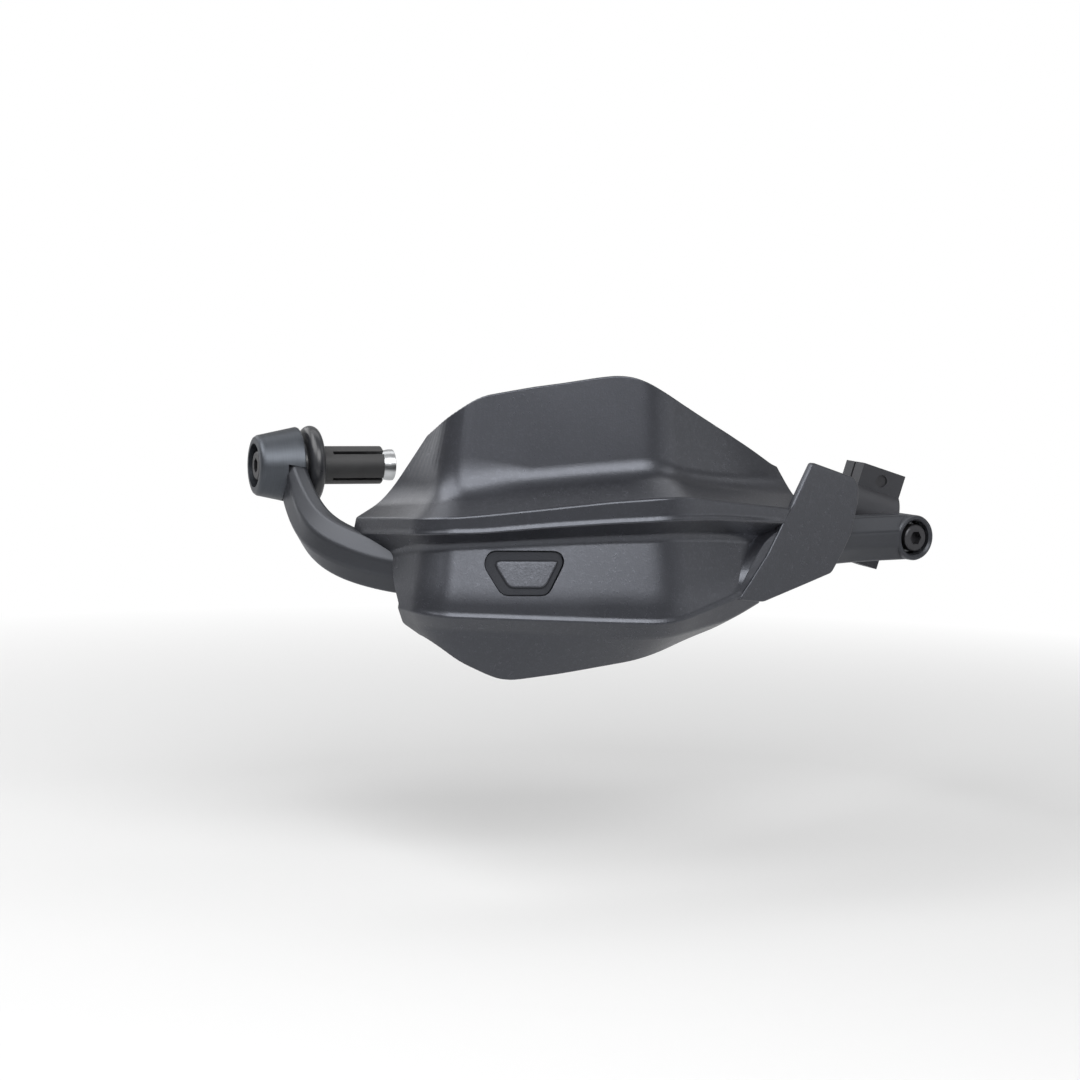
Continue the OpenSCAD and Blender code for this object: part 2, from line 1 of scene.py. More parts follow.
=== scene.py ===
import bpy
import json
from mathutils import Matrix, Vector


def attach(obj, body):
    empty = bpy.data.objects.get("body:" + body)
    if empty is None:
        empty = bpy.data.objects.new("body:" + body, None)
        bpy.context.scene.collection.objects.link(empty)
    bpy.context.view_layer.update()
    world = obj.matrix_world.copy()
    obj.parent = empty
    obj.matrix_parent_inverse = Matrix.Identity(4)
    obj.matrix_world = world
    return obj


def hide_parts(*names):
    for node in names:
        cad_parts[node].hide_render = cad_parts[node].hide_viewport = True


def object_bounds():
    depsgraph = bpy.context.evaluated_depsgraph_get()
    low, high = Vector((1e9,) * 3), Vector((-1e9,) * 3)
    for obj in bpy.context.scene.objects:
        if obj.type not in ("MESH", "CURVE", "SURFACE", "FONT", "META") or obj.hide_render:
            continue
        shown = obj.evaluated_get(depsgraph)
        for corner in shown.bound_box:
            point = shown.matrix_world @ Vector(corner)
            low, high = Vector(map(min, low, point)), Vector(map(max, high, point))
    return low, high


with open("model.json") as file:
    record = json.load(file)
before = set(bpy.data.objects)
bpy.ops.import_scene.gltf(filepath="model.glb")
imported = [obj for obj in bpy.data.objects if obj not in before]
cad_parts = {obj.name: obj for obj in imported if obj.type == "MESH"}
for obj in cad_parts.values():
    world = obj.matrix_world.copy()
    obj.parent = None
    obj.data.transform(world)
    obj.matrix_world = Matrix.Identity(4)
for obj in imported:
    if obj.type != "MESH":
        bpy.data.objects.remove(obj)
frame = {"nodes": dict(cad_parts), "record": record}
cad_box = [list(corner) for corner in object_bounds()]

import json
import math

import bmesh
import bpy
import numpy as np
from bpy.props import FloatProperty, FloatVectorProperty, IntProperty, PointerProperty
from bpy.types import Operator, Panel, PropertyGroup
from mathutils import Matrix, Vector
from mathutils.bvhtree import BVHTree

bl_info = {
    "name": "Motorcycle Hand Guard",
    "version": (1, 0, 0),
    "blender": (4, 5, 0),
    "location": "View3D > Sidebar > Hand Guard",
    "description": "Builds the moulded shield, the cast brace, the finishes and the stage of a hand guard",
    "category": "Object",
}

MM = 0.001
UP = np.array([0.0, 0.0, 1.0])
WHITE = (1.0, 1.0, 1.0)
# Points closer than this many metres become one
WELD = 1e-7
# The most of an edge that the rounding of one corner takes up
EDGE_SHARE = 0.45

# The shield's plan by station: distance inboard, and distance behind the foremost line
RIDGE_IN = [(-20, -6), (0, 0), (60, 17), (165, 120), (307, 252), (330, 273)]
RIDGE_BEHIND = [(-20, 97), (0, 78), (60, 21), (165, 0), (307, 54), (330, 63)]
RIDGE_SETBACK = 0.25
NOMINAL_LENGTH = 237.0
NOMINAL_REACH = 134.0
NOMINAL_WING = 47.0
NOMINAL_SKIRT = 86.0
SKIRT_ROOT = 64.0
FIRST_STATION = 2.0
LAST_STATION = 250.0
# Stations over which the lines' own ends fan out from the first and from the last one
EASE_IN, EASE_OUT = 90, 80
# Stations over which corners are rounded in the plan, in its direction and along the lines
PLAN_BLEND, RUN_BLEND, LINE_BLEND = 26, 90, 12

# Heights of the shield's lines by station
TOP_LINE = [(24, 14), (34, 19), (45, 23.4), (66, 32), (77, 37), (139, 46.2), (149, 47), (159, 45.2), (184, 35),
            (213, 23.5), (235, 13.3), (252, 4.5)]
CREASE_LINE = [(4, -10.8), (45, -5.5), (90, 0), (124, 3.4), (158, 6.2), (171, 5.5), (185, 1.9),
               (206, -0.7), (245, -4.1), (256, -5)]
RIDGE_LINE = [(0, -18.6), (38, -15.5), (78, -12.8), (109, -9.5), (138, -6.2), (161, -4.5),
              (173, -4.2), (191, -6.4), (239, -12.1), (250, -13.5)]
LIP_LINE = [(2, -25.6), (40, -22), (71, -20), (82, -19.8), (109, -17.3), (138, -15.2), (166, -13.7),
            (190, -14.4), (231, -17.7), (246, -19)]
HOLLOW_LINE = [(24, -32.5), (45, -28), (68, -25.5), (110, -23.5), (140, -22.1), (171, -21.4),
               (197, -22.7), (226, -25.2), (244, -27)]
BAND_LINE = [(30, -44), (60, -47), (100, -48.5), (165, -49.5), (184, -47.5), (206, -43.5), (236, -36)]
BAND_EDGE_LINE = [(37, -54), (67, -55.5), (97, -56.5), (134, -57.7), (163, -58.4), (172, -57.3),
                  (184, -54.8), (206, -50), (216, -48)]
SKIRT_LINE = [(35, -61.4), (55, -61.1), (98, -62.9), (150, -65.4), (167, -65.1), (180, -64),
              (207, -60.2), (220, -55.6), (227, -52.8), (234, -50)]
BOTTOM_LINE = [(46, -65.5), (58, -70), (70, -77.3), (86, -84.1), (94, -86), (103, -85.6), (125, -82.6),
               (157, -77.5), (170, -74.8), (191, -69.5), (207, -64.5), (220, -58.3), (227, -54.4), (234, -51)]
SKIRT_DEPTH = [(35, 5), (60, 6), (180, 6), (234, 2.5)]
BOTTOM_DEPTH = [(46, 9), (58, 12), (70, 16), (85, 19), (95, 20), (170, 20), (191, 18), (215, 10), (234, 4)]
BAND_DEPTH = [(30, 2.2), (60, 1.6), (150, 1.2), (175, 1.4), (205, 2), (225, 4)]
# Height of the bead above the lip and above the band's edge
BEAD = 1.9
# The lines from the hollow down to the band's edge
BAND_ROWS = slice(5, 9)

# Inner panel: outline as station and height, and the wall that returns to the band, as the station and
# height where it leaves the panel and where it meets the band, and the depth of its crest
PANEL_STATION = 230.0
PANEL_FACING = 250
PANEL_CORNER = 1.6
# Where its rim stays full to meet the ridge: lowest and highest height, and distance inboard
PANEL_ROOT = (-18.4, -11, 14)
PANEL_OUTLINE = [(254, 8.2), (284, 0.2), (287, -4), (286.8, -12.6), (283, -25.7), (277, -34.6),
                 (270, -43), (250, -47.4), (224, -53), (207, -51), (213.4, -44.7), (226, -31.3),
                 (235.4, -18), (240.8, -11.4)]
PANEL_RETURN = [(237.2, -16.4, 240.5, -17.6, 0.6), (233, -21.4, 231.5, -21.6, 0.9), (229.5, -26.4, 223, -25.6, 1),
                (226, -31.3, 218, -31.5, 1.2), (221, -36.8, 212.5, -38, 1.3), (216, -42, 209, -43.6, 1.5),
                (211.5, -46.6, 206.6, -47.6, 1.2), (207.2, -50.8, 205.6, -50.8, 0.5)]

# Bosses as station and height
BOSSES = [(67.0, -39.6), (150.0, -39.0), (222.0, -37.5)]
BOSS_HOLE = 7.3
WEB_HALF, WEB_REACH = 0.8, 4.5

# Inlay: its middle as station and height, the station whose direction it takes, and its corners' cut
INLAY_SPOT = (100.5, -37.2)
INLAY_FACING = 120
INLAY_CORNER = 3.4

# Brace: its depth by station, its stations, its front and back chamfers, and the radii of its bores
BRACE_LINE = [(67, 3), (95, 0), (160, 0), (235, 4)]
BRACE_STATIONS = (67, 87, 106, 128, 150, 174, 198, 222)
CHAMFER, BACK_CHAMFER, SECTION_CUT = (7.5, 4.5), 2, 1.4
EYE_FACE = -8.3
BOLT_BORE, BOLT_FLARE = 4.25, 5.4
BOLT_SEAT, SEAT_DEPTH, SEAT_FLARE = 8.5, 9.6, 9.6
SCREW_BORE, WASHER_SEAT = 2.75, 6.5

# Handlebar at the clamp, and the brace's inner end
BAR_BEND = 198.0
BAR_OFFSET = -5.0
BAR_FALL = math.radians(17)
END_TURN = math.radians(10)
BOLT_DROP = 7.6

# Nodes whose pieces are made anew
REMADE = ("shield", "inlay_cap", "brace")

# Lamps as size and place, each aimed at the object's middle
LAMPS = {
    "key": ((1.2, 0.72), (0.08, -1.1, 0.73)),
    "side": ((1.1, 0.8), (-0.62, -0.2, 0.85)),
    "rim": ((1.0, 0.5), (-0.55, 1.0, 0.62)),
    "fill": ((1.0, 0.4), (1.35, -0.75, 0.1)),
    "end": ((0.45, 0.3), (-0.86, 1.05, 0.07)),
    "inner": ((0.6, 0.45), (1.14, -0.39, 0.74)),
    "top": ((1.8, 0.7), (0.2, 0.45, 1.2)),
}
# Distance from the object over which the floor turns white
FADE_FROM, FADE_TO = 0.25, 0.85
# The camera's place, and its axes to the right, up and back, at the photograph's viewing angle
CAMERA_SPOT = (-0.3029, -1.0607, 0.0834)
CAMERA_AXES = ((0.9323, -0.3608, 0.0243), (0.0152, 0.1062, 0.9942), (-0.3613, -0.9266, 0.1045))


def unit(v):
    return v / np.maximum(np.linalg.norm(v, axis=-1, keepdims=True), 1e-12)


def lookup(table, s):
    x, y = np.array(table, float).T
    return np.interp(s, x, y)


def soft(table, s, width):
    """A table's value averaged over a width, so that its corners are rounded."""
    return np.mean([lookup(table, s + width * k / 32) for k in range(-16, 17)], axis=0)


def eased(a, p, b, cut, count):
    """The corner a-p-b cut back and rounded, as count points."""
    reach_a = np.minimum(cut, EDGE_SHARE * np.linalg.norm(a - p, axis=-1, keepdims=True))
    reach_b = np.minimum(cut, EDGE_SHARE * np.linalg.norm(b - p, axis=-1, keepdims=True))
    q, r = p + unit(a - p) * reach_a, p + unit(b - p) * reach_b
    return [q * (1 - t) ** 2 + p * 2 * t * (1 - t) + r * t ** 2 for t in np.linspace(0, 1, count)]


def rounded(corners, cut, count, middles=False):
    """A closed outline with its corners rounded, and with its edges' middles if they are wanted."""
    ring = []
    for k, p in enumerate(corners):
        after = corners[(k + 1) % len(corners)]
        ring += eased(corners[k - 1], p, after, cut, count)
        if middles:
            ring.append(p + (after - p) * 0.5)
    return ring


def inward(edges, points):
    """Unit normals of a closed outline's edges, turned to its inside."""
    edge = unit(edges)
    normal = np.stack([edge[:, 1], -edge[:, 0]], -1)
    return -normal if np.sum(normal * (points - points.mean(0))) > 0 else normal


def loft(loops, caps="strip"):
    """Points and faces of a closed skin through equal closed loops."""
    m, n = loops.shape[:2]
    a = np.arange(m - 1)[:, None] * n + np.arange(n)[None, :]
    b = np.arange(m - 1)[:, None] * n + (np.arange(n)[None, :] + 1) % n
    faces = np.stack([a, b, b + n, a + n], -1).reshape(-1, 4).tolist()
    k = (m - 1) * n
    if caps == "strip":
        for j in range(n // 2 - 1):
            faces.append([n - 1 - j, n - 2 - j, j + 1, j])
            faces.append([k + j, k + j + 1, k + n - 2 - j, k + n - 1 - j])
    elif caps == "polygon":
        faces.append(list(range(n))[::-1])
        faces.append([k + j for j in range(n)])
    return loops.reshape(-1, 3), faces


def lathe(profile, count=96):
    """Loft of a profile of (radius, height) turned about Z, both ends on the axis or closed on itself."""
    profile = np.array(profile, float)
    angle = np.arange(count) * 2 * math.pi / count
    ring = np.stack([np.cos(angle), np.sin(angle), 0 * angle], -1)
    loops = profile[:, :1, None] * ring[None] + profile[:, 1:, None] * UP
    return loft(loops, caps="none")


def new_object(name, data):
    """Links a new object, in place of an older one of that name."""
    old = bpy.data.objects.get(name)
    if old:
        bpy.data.objects.remove(old)
    obj = bpy.data.objects.new(name, data)
    bpy.context.scene.collection.objects.link(obj)
    return obj


class Form:
    """Collects points and faces of closed parts, in millimetres, and makes a mesh object of them."""

    def __init__(self):
        self.points, self.faces = [], []

    def add(self, points, faces, place=None):
        points = np.asarray(points, float).reshape(-1, 3)
        if place is not None:
            points = points @ place[:3, :3].T + place[:3, 3]
        start = sum(len(p) for p in self.points)
        self.points.append(points)
        self.faces += [[start + i for i in face] for face in faces]
        return self

    def make(self, name):
        mesh = bpy.data.meshes.new(name)
        mesh.from_pydata((np.concatenate(self.points) * MM).tolist(), [], self.faces)
        bm = bmesh.new()
        bm.from_mesh(mesh)
        bmesh.ops.remove_doubles(bm, verts=bm.verts, dist=WELD)
        bmesh.ops.dissolve_degenerate(bm, edges=bm.edges, dist=WELD)
        bmesh.ops.recalc_face_normals(bm, faces=bm.faces)
        bm.to_mesh(mesh)
        bm.free()
        return new_object(name, mesh)


def place_at(origin, x, y, z):
    """4 by 4 placing matrix from an origin and three axes."""
    m = np.eye(4)
    m[:3, 0], m[:3, 1], m[:3, 2], m[:3, 3] = x, y, z, origin
    return m


def place_along(origin, axis):
    """Placing matrix whose Z runs along an axis."""
    z = unit(np.asarray(axis, float))
    x = unit(np.cross(z, UP if abs(z[2]) < 0.9 else np.array([1.0, 0, 0])))
    return place_at(origin, x, np.cross(z, x), z)


def combine(obj, other, operation):
    """Boolean of an object with another one, which is then removed."""
    mod = obj.modifiers.new("combine", "BOOLEAN")
    mod.operation, mod.object, mod.solver = operation, other, "EXACT"
    bpy.context.view_layer.update()
    depsgraph = bpy.context.evaluated_depsgraph_get()
    mesh = bpy.data.meshes.new_from_object(obj.evaluated_get(depsgraph))
    obj.modifiers.clear()
    obj.data = mesh
    bpy.data.objects.remove(other)
    if not mesh.polygons:
        raise RuntimeError(f"nothing is left of {obj.name} after {operation}")


def smooth(obj, degrees):
    """Smooth shading, sharp where faces meet at more than an angle."""
    obj.data.polygons.foreach_set("use_smooth", [True] * len(obj.data.polygons))
    obj.data.set_sharp_from_angle(angle=math.radians(degrees))
    obj.modifiers.new("weighted normals", "WEIGHTED_NORMAL").keep_sharp = True


def dress(obj, material, slot, *nodes):
    """Gives a new piece its finish and its place in the frame."""
    obj.data.materials.clear()
    obj.data.materials.append(material)
    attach(obj, "root")
    if nodes:
        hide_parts(*nodes)


class Moulding:
    """The shield's wall: stations run along its ridge, depth runs back from the ridge."""

    def __init__(self, sizes):
        self.length = sizes.length / MM
        self.reach = sizes.reach / MM
        self.wall = sizes.wall / MM
        self.rim = sizes.rim_round / MM
        self.stretch = self.length / NOMINAL_LENGTH
        ledge, hollow = sizes.ledge / MM, sizes.hollow / MM
        wing = sizes.wing_height / MM / NOMINAL_WING
        skirt = (sizes.skirt_depth / MM - SKIRT_ROOT) / (NOMINAL_SKIRT - SKIRT_ROOT)
        top = [(s, z * wing) for s, z in TOP_LINE]
        bottom = [(s, -SKIRT_ROOT + (z + SKIRT_ROOT) * skirt if z < -SKIRT_ROOT else z)
                  for s, z in BOTTOM_LINE]
        hollow_depth = [(24, hollow - 0.5), (60, hollow + 2), (175, hollow + 2), (225, hollow + 1.5)]
        above_lip, above_edge = ([(s, z + BEAD) for s, z in line] for line in (LIP_LINE, BAND_EDGE_LINE))
        # Each line's first and last station, its depth behind the ridge, its height, and its corner's cut
        self.rows = [
            (34, 252, [(0, ledge + sizes.lean / MM)], top, 0),
            (4, 256, [(0, ledge)], CREASE_LINE, [(40, 14), (72, 14), (105, 6)]),
            (3.5, 250, [(0, 0)], RIDGE_LINE, 0.9),
            (2, 246, [(0, -0.1)], above_lip, 0.8),
            (2, 246, [(30, -0.3), (75, -1), (212, -1), (238, -0.1)], LIP_LINE, 0.7),
            (24, 244, hollow_depth, HOLLOW_LINE, 3),
            (31, 238, BAND_DEPTH, BAND_LINE, 6),
            (37.4, 216, [(40, 0.4), (72, 0.9)], above_edge, 0.8),
            (37.4, 216, [(0, 0)], BAND_EDGE_LINE, 0.7),
            (35.5, 225, SKIRT_DEPTH, SKIRT_LINE, 1.5),
            (46, 226, BOTTOM_DEPTH, bottom, 0),
        ]

    def plan(self, s, width=PLAN_BLEND):
        return np.stack([soft(RIDGE_IN, s, width) * self.stretch,
                         soft(RIDGE_BEHIND, s, width) - self.reach + RIDGE_SETBACK], -1)

    def run(self, s):
        return unit(self.plan(s + 1, RUN_BLEND) - self.plan(s - 1, RUN_BLEND))

    def spot(self, s, depth, height):
        s, depth, height = np.broadcast_arrays(*(np.asarray(v, float) for v in (s, depth, height)))
        run = self.run(s)
        aim = np.stack([run[..., 1], -run[..., 0]], -1)
        flat = self.plan(s) - aim * depth[..., None]
        return np.concatenate([flat, height[..., None]], -1)

    def facing(self, s, depth, height, towards=None):
        """Placing matrix with X along the shield, Y up and Z out of it, as it faces there or at another station."""
        run = self.run(np.asarray(float(s if towards is None else towards)))
        return place_at(self.spot(s, depth, height), [run[0], run[1], 0], UP, [run[1], -run[0], 0])

    def row_station(self, row, s):
        return (s + (row[0] - FIRST_STATION) * np.maximum(0, 1 - (s - FIRST_STATION) / EASE_IN) ** 2
                + (row[1] - LAST_STATION) * np.maximum(0, 1 - (LAST_STATION - s) / EASE_OUT) ** 2)

    def rails(self, s, inset):
        """Corner points of the wall's section, inset from its outer face, by station and row."""
        stations = [self.row_station(row, s) for row in self.rows]
        flat = np.stack([np.stack([soft(row[2], st, LINE_BLEND), soft(row[3], st, LINE_BLEND)], -1)
                         for row, st in zip(self.rows, stations)], 1)
        edge = unit(flat[:, 1:] - flat[:, :-1])
        left = np.stack([-edge[..., 1], edge[..., 0]], -1)
        before = np.concatenate([left[:, :1], left], 1)
        after = np.concatenate([left, left[:, -1:]], 1)
        mitre = (before + after) / (1 + np.sum(before * after, -1, keepdims=True))
        flat = flat + mitre * inset[:, None, None]
        return np.stack([self.spot(st, flat[:, i, 0], flat[:, i, 1]) for i, st in enumerate(stations)], 1)

    def face(self, s, inset, count=7):
        """The wall's face at an inset, by station and point."""
        p = self.rails(s, inset)
        path = [p[:, 0]]
        for i in range(1, p.shape[1] - 1):
            cut = self.rows[i][4]
            if isinstance(cut, list):
                cut = lookup(cut, s)[:, None]
            path += eased(p[:, i - 1], p[:, i], p[:, i + 1], cut, count)
        return np.stack(path + [p[:, -1]], 1)

    def depth_at(self, s, z):
        """Depth of the wall's outer face behind the ridge, at a station and height under the lip."""
        rows = reversed(self.rows[BAND_ROWS])
        return float(lookup([(lookup(row[3], s), lookup(row[2], s)) for row in rows], z))

    def wall_loops(self, columns):
        """Closed loops round the wall, with rounded rims along its edges and at its two tips."""
        turn = np.linspace(0, math.pi / 2, 4)
        first = FIRST_STATION + self.rim * (1 - np.cos(turn))
        last = LAST_STATION - self.rim * (1 - np.cos(turn))
        middle = np.linspace(first[-1], last[-1], columns)[1:-1]
        s = np.concatenate([first, middle, last[::-1]])
        tip = self.rim * (1 - np.sin(turn))
        inset = np.concatenate([tip, 0 * middle, tip[::-1]])
        outer, inner = self.face(s, inset), self.face(s, self.wall - inset)

        def rim(o, i, o_next):
            across, out = i - o, unit(o - o_next)
            r = np.minimum(self.rim, EDGE_SHARE * np.linalg.norm(across, axis=-1, keepdims=True))
            across = unit(across)
            return [o + across * r * (1 - math.sin(t)) - out * r * (1 - math.cos(t)) for t in turn]

        def side(o, i):
            path = rim(o[:, 0], i[:, 0], o[:, 1]) + [o[:, k] for k in range(1, o.shape[1] - 1)]
            return path + rim(o[:, -1], i[:, -1], o[:, -2])[::-1]

        loop = side(outer, inner) + side(inner, outer)[::-1]
        return np.stack(loop, 1)


def outline_ring(corners, inset, cut):
    """A convex outline moved inwards, with its corners rounded."""
    corners = np.array(corners, float)
    after = inward(np.roll(corners, -1, 0) - corners, corners)
    before = np.roll(after, 1, 0)
    moved = corners + inset * (before + after) / (1 + np.sum(before * after, -1, keepdims=True))
    return np.array(rounded(moved, cut, 6, middles=True))


def inlay_outline(sizes):
    """Corners of the inlay's outline about its middle."""
    w, h = sizes.inlay_width / MM / 2, sizes.inlay_height / MM / 2
    return [(-w + 3, h), (w - 0.5, h), (w + 1.8, h - 4.6), (w - 6, -h), (-w + 8, -h), (-w, h - 6)]


def inlay_place(wall):
    return wall.facing(INLAY_SPOT[0], 0, INLAY_SPOT[1], INLAY_FACING)


def build_shield(sizes):
    """The wall with the inlay's window cut out, its bosses and webs, and its inner panel."""
    wall = Moulding(sizes)
    shell = Form().add(*loft(wall.wall_loops(sizes.columns))).make("moulded_shield")
    ring = outline_ring(inlay_outline(sizes), 0, INLAY_CORNER)
    loops = np.array([[(x, y, z) for x, y in ring] for z in (-9, 6)])
    combine(shell, Form().add(*loft(loops, "polygon"), inlay_place(wall)).make("window"), "DIFFERENCE")
    for name, form in zip(("shield_bosses", "shield_webs"), boss_forms(wall, sizes)):
        part = form.make(name)
        combine(part, behind_wall(wall).make("behind"), "INTERSECT")
        join(shell, part)
    join(shell, inner_panel(wall, sizes.panel_proud / MM).make("shield_extra"))
    smooth(shell, 32)
    return shell


def inner_panel(wall, proud):
    """The flat inner panel with rounded rims, and the wall that returns from it to the band."""
    thick, r = wall.wall, wall.rim
    pitch = np.linalg.norm(wall.plan(PANEL_STATION + 10) - wall.plan(PANEL_STATION)) / 10
    corners = np.array([((s - PANEL_STATION) * pitch, z) for s, z in PANEL_OUTLINE])
    ring = np.array(rounded(corners, PANEL_CORNER, 5))
    normals = inward(np.roll(ring, -1, 0) - np.roll(ring, 1, 0), ring)
    steps = [(r * (1 - math.sin(t)), thick - r * (1 - math.cos(t))) for t in np.linspace(0, math.pi / 2, 4)]
    steps += [(r * (1 - math.sin(t)), r * (1 - math.cos(t))) for t in np.linspace(math.pi / 2, 0, 4)]
    low, high, inboard = PANEL_ROOT
    free = np.array([0.0 if low < p[1] < high and p[0] < inboard * pitch else 1.0 for p in ring])
    loops = [[(*(p + n * inset * w), z) for p, n, w in zip(ring, normals, free)] for inset, z in steps]
    heart = ring.mean(0)
    flat = [[(*(heart + (p - heart) * 0.92), z) for p in ring] for z in (thick, 0)]
    loops = np.array([flat[0], *loops, flat[1]])
    form = Form().add(*loft(loops, "polygon"), wall.facing(PANEL_STATION, thick - proud, 0, PANEL_FACING))
    table = np.array(PANEL_RETURN, float)
    t = np.linspace(0, len(table) - 1, 61)
    s0, z0, s1, z1, crest = (soft(list(enumerate(table[:, k])), t, 0.9) for k in range(5))
    under = np.array([wall.depth_at(s, z) for s, z in zip(s1, z1)])
    crest = np.minimum(crest, under)
    loops = np.stack([wall.spot(s0 + thick + 0.5, thick - proud, z0), wall.spot(s0 + 0.4, 0.7 - proud, z0),
                      wall.spot(s1 + 2.6, crest - 0.1, z1), wall.spot(s1 + 2, crest + 0.1, z1),
                      wall.spot(s1 - 0.8, under + 0.5, z1), wall.spot(s1 + thick, under + thick - 0.5, z1)], 1)
    return form.add(*loft(loops))


def boss_forms(wall, sizes):
    """Bosses behind the band, and three webs for each, before they are trimmed to the wall."""
    bore, outer = sizes.insert_width / MM / 2 + 0.05, sizes.boss_width / MM / 2
    bosses, webs = Form(), Form()
    for s, z in BOSSES:
        face = boss_face(sizes, s)
        rise = face - lookup(BAND_DEPTH, s) - wall.wall
        place = wall.facing(s, face, z)
        profile = [(0, BOSS_HOLE), (bore, BOSS_HOLE), (bore, 0.4), (bore + 0.4, 0), (outer - 0.5, 0), (outer, 0.5),
                   (outer, rise - 1.2), (outer + 0.4, rise), (outer + 1.2, rise + 0.9), (outer + 1.2, rise + 5),
                   (0, rise + 5)]
        bosses.add(*lathe(profile, 64), place)
        section = [(outer - 1, 1.5), (outer, 1.5), (outer + WEB_REACH, rise), (outer + WEB_REACH, rise + 5),
                   (outer - 1, rise + 5)]
        for angle in (0, 90, 180):
            c, q = math.cos(math.radians(angle)), math.sin(math.radians(angle))
            loops = np.array([[(c * x - q * y, q * x + c * y, zz) for x, zz in section]
                              for y in (-WEB_HALF, WEB_HALF)])
            webs.add(*loft(loops, "polygon"), place)
    return bosses, webs


def behind_wall(wall):
    """The space behind the middle of the wall's thickness."""
    s = np.linspace(40, 245, 120)
    middle = wall.face(s, 0 * s + wall.wall / 2)
    run = wall.run(s)
    aim = np.stack([run[:, 1], -run[:, 0], 0 * s], -1)
    return Form().add(*loft(np.concatenate([middle, (middle - 40 * aim[:, None])[:, ::-1]], 1)))


def join(obj, other):
    """Adds another object's mesh to an object's own."""
    bm = bmesh.new()
    bm.from_mesh(obj.data)
    bm.from_mesh(other.data)
    bm.to_mesh(obj.data)
    bm.free()
    bpy.data.objects.remove(other)


def brace_depth(sizes, s):
    """Depth of the brace's middle behind the shield's ridge."""
    return sizes.brace_back / MM + lookup(BRACE_LINE, s)


def boss_face(sizes, s):
    """Depth at which a boss meets the brace's pad."""
    return brace_depth(sizes, s) - sizes.brace_thickness / MM / 2 - sizes.pad_height / MM


def build_inlay(sizes):
    """The inlay follows the band's surface: a raised pad in a sunk channel, and a flange behind the wall."""
    wall = Moulding(sizes)
    columns = np.linspace(60, 150, 120)
    grid = wall.face(columns, 0 * columns, 9)
    m, n = grid.shape[:2]
    faces = [(i * n + j, i * n + j + 1, (i + 1) * n + j + 1, (i + 1) * n + j)
             for i in range(m - 1) for j in range(n - 1)]
    tree = BVHTree.FromPolygons(grid.reshape(-1, 3).tolist(), faces)
    corners = inlay_outline(sizes)
    sink, channel = sizes.inlay_sink / MM + 0.3, sizes.inlay_channel / MM
    back, lip = wall.wall + 1.6, wall.wall + 0.3
    # The outline's inset, the depth behind the band's face and the corners' cut, from the back forward
    steps = [(-1.6, back, 3.4), (-2, back - 0.4, 3.4), (-2, lip, 3.4), (0.3, lip, 3.3), (0.3, sink + 0.3, 3.3),
             (0.42, sink + 0.08, 3.2), (0.7, sink, 3.1), (channel - 0.7, sink, 2.6), (channel - 0.4, sink - 0.15, 2.5),
             (channel - 0.2, sink - 0.5, 2.4), (channel, 0.55, 2.3), (channel + 0.25, 0.35, 2.2),
             (channel + 0.7, 0.3, 2)]
    # The channel is wider outboard and above, so the pad lies off its middle
    shift = np.array([min(1.1, channel - 1.7), -0.4])
    flat = [(outline_ring(corners, inset, cut) + shift * (inset > 0.7), depth) for inset, depth, cut in steps]
    front = flat[-1][0]
    flat += [(front.mean(0) + (front - front.mean(0)) * f, 0.3) for f in (0.75, 0.5, 0.25, 0.02)]
    rear = flat[0][0]
    flat = [(rear.mean(0) + (rear - rear.mean(0)) * f, back) for f in (0.02, 0.3, 0.6, 0.85)] + flat
    place = inlay_place(wall)
    aim = Vector(place[:3, 2])
    loops = []
    for ring, depth in flat:
        loop = []
        for x, y in ring:
            start = Vector(place[:3, :3] @ np.array([x, y, 15.0]) + place[:3, 3])
            hit, normal, _, _ = tree.ray_cast(start, -aim)
            if hit is None:
                raise RuntimeError("the inlay reaches beyond the band")
            normal = normal if normal.dot(aim) > 0 else -normal
            loop.append(np.array(hit - (normal * 0.6 + aim * 0.4).normalized() * depth))
        loops.append(loop)
    piece = Form().add(*loft(np.array(loops), "polygon")).make("inlay_pad")

    # How far each point lies in the channel, for the painted shade that the finish puts in it
    centre = Matrix(place.tolist()).inverted()
    inner = outline_ring(corners, channel + 0.1, 2.2) + shift
    field = piece.data.attributes.new("channel", "FLOAT", "POINT")
    for vertex, value in zip(piece.data.vertices, field.data):
        spot = centre @ (vertex.co / MM)
        value.value = 0.0 if inside(inner, spot.x, spot.y) else 1.0
    smooth(piece, 50)
    return piece


def inside(ring, x, y):
    """Whether a point lies inside a convex ring of points."""
    a = np.asarray(ring)
    b = np.roll(a, -1, 0)
    cross = (b[:, 0] - a[:, 0]) * (y - a[:, 1]) - (b[:, 1] - a[:, 1]) * (x - a[:, 0])
    return bool((cross >= 0).all() or (cross <= 0).all())


def clamp_frame(sizes):
    """Axis of the brace's inner end, the middle of its back face, and the direction of its run."""
    bar = np.array([sizes.clamp_distance / MM, BAR_OFFSET,
                    -(sizes.clamp_distance / MM - BAR_BEND) * math.tan(BAR_FALL)])
    aim = np.array([math.sin(END_TURN), -math.cos(END_TURN), 0])
    run = np.array([math.cos(END_TURN), math.sin(END_TURN), 0])
    back = bar - UP * BOLT_DROP + aim * sizes.clamp_reach / MM
    return aim, back, run


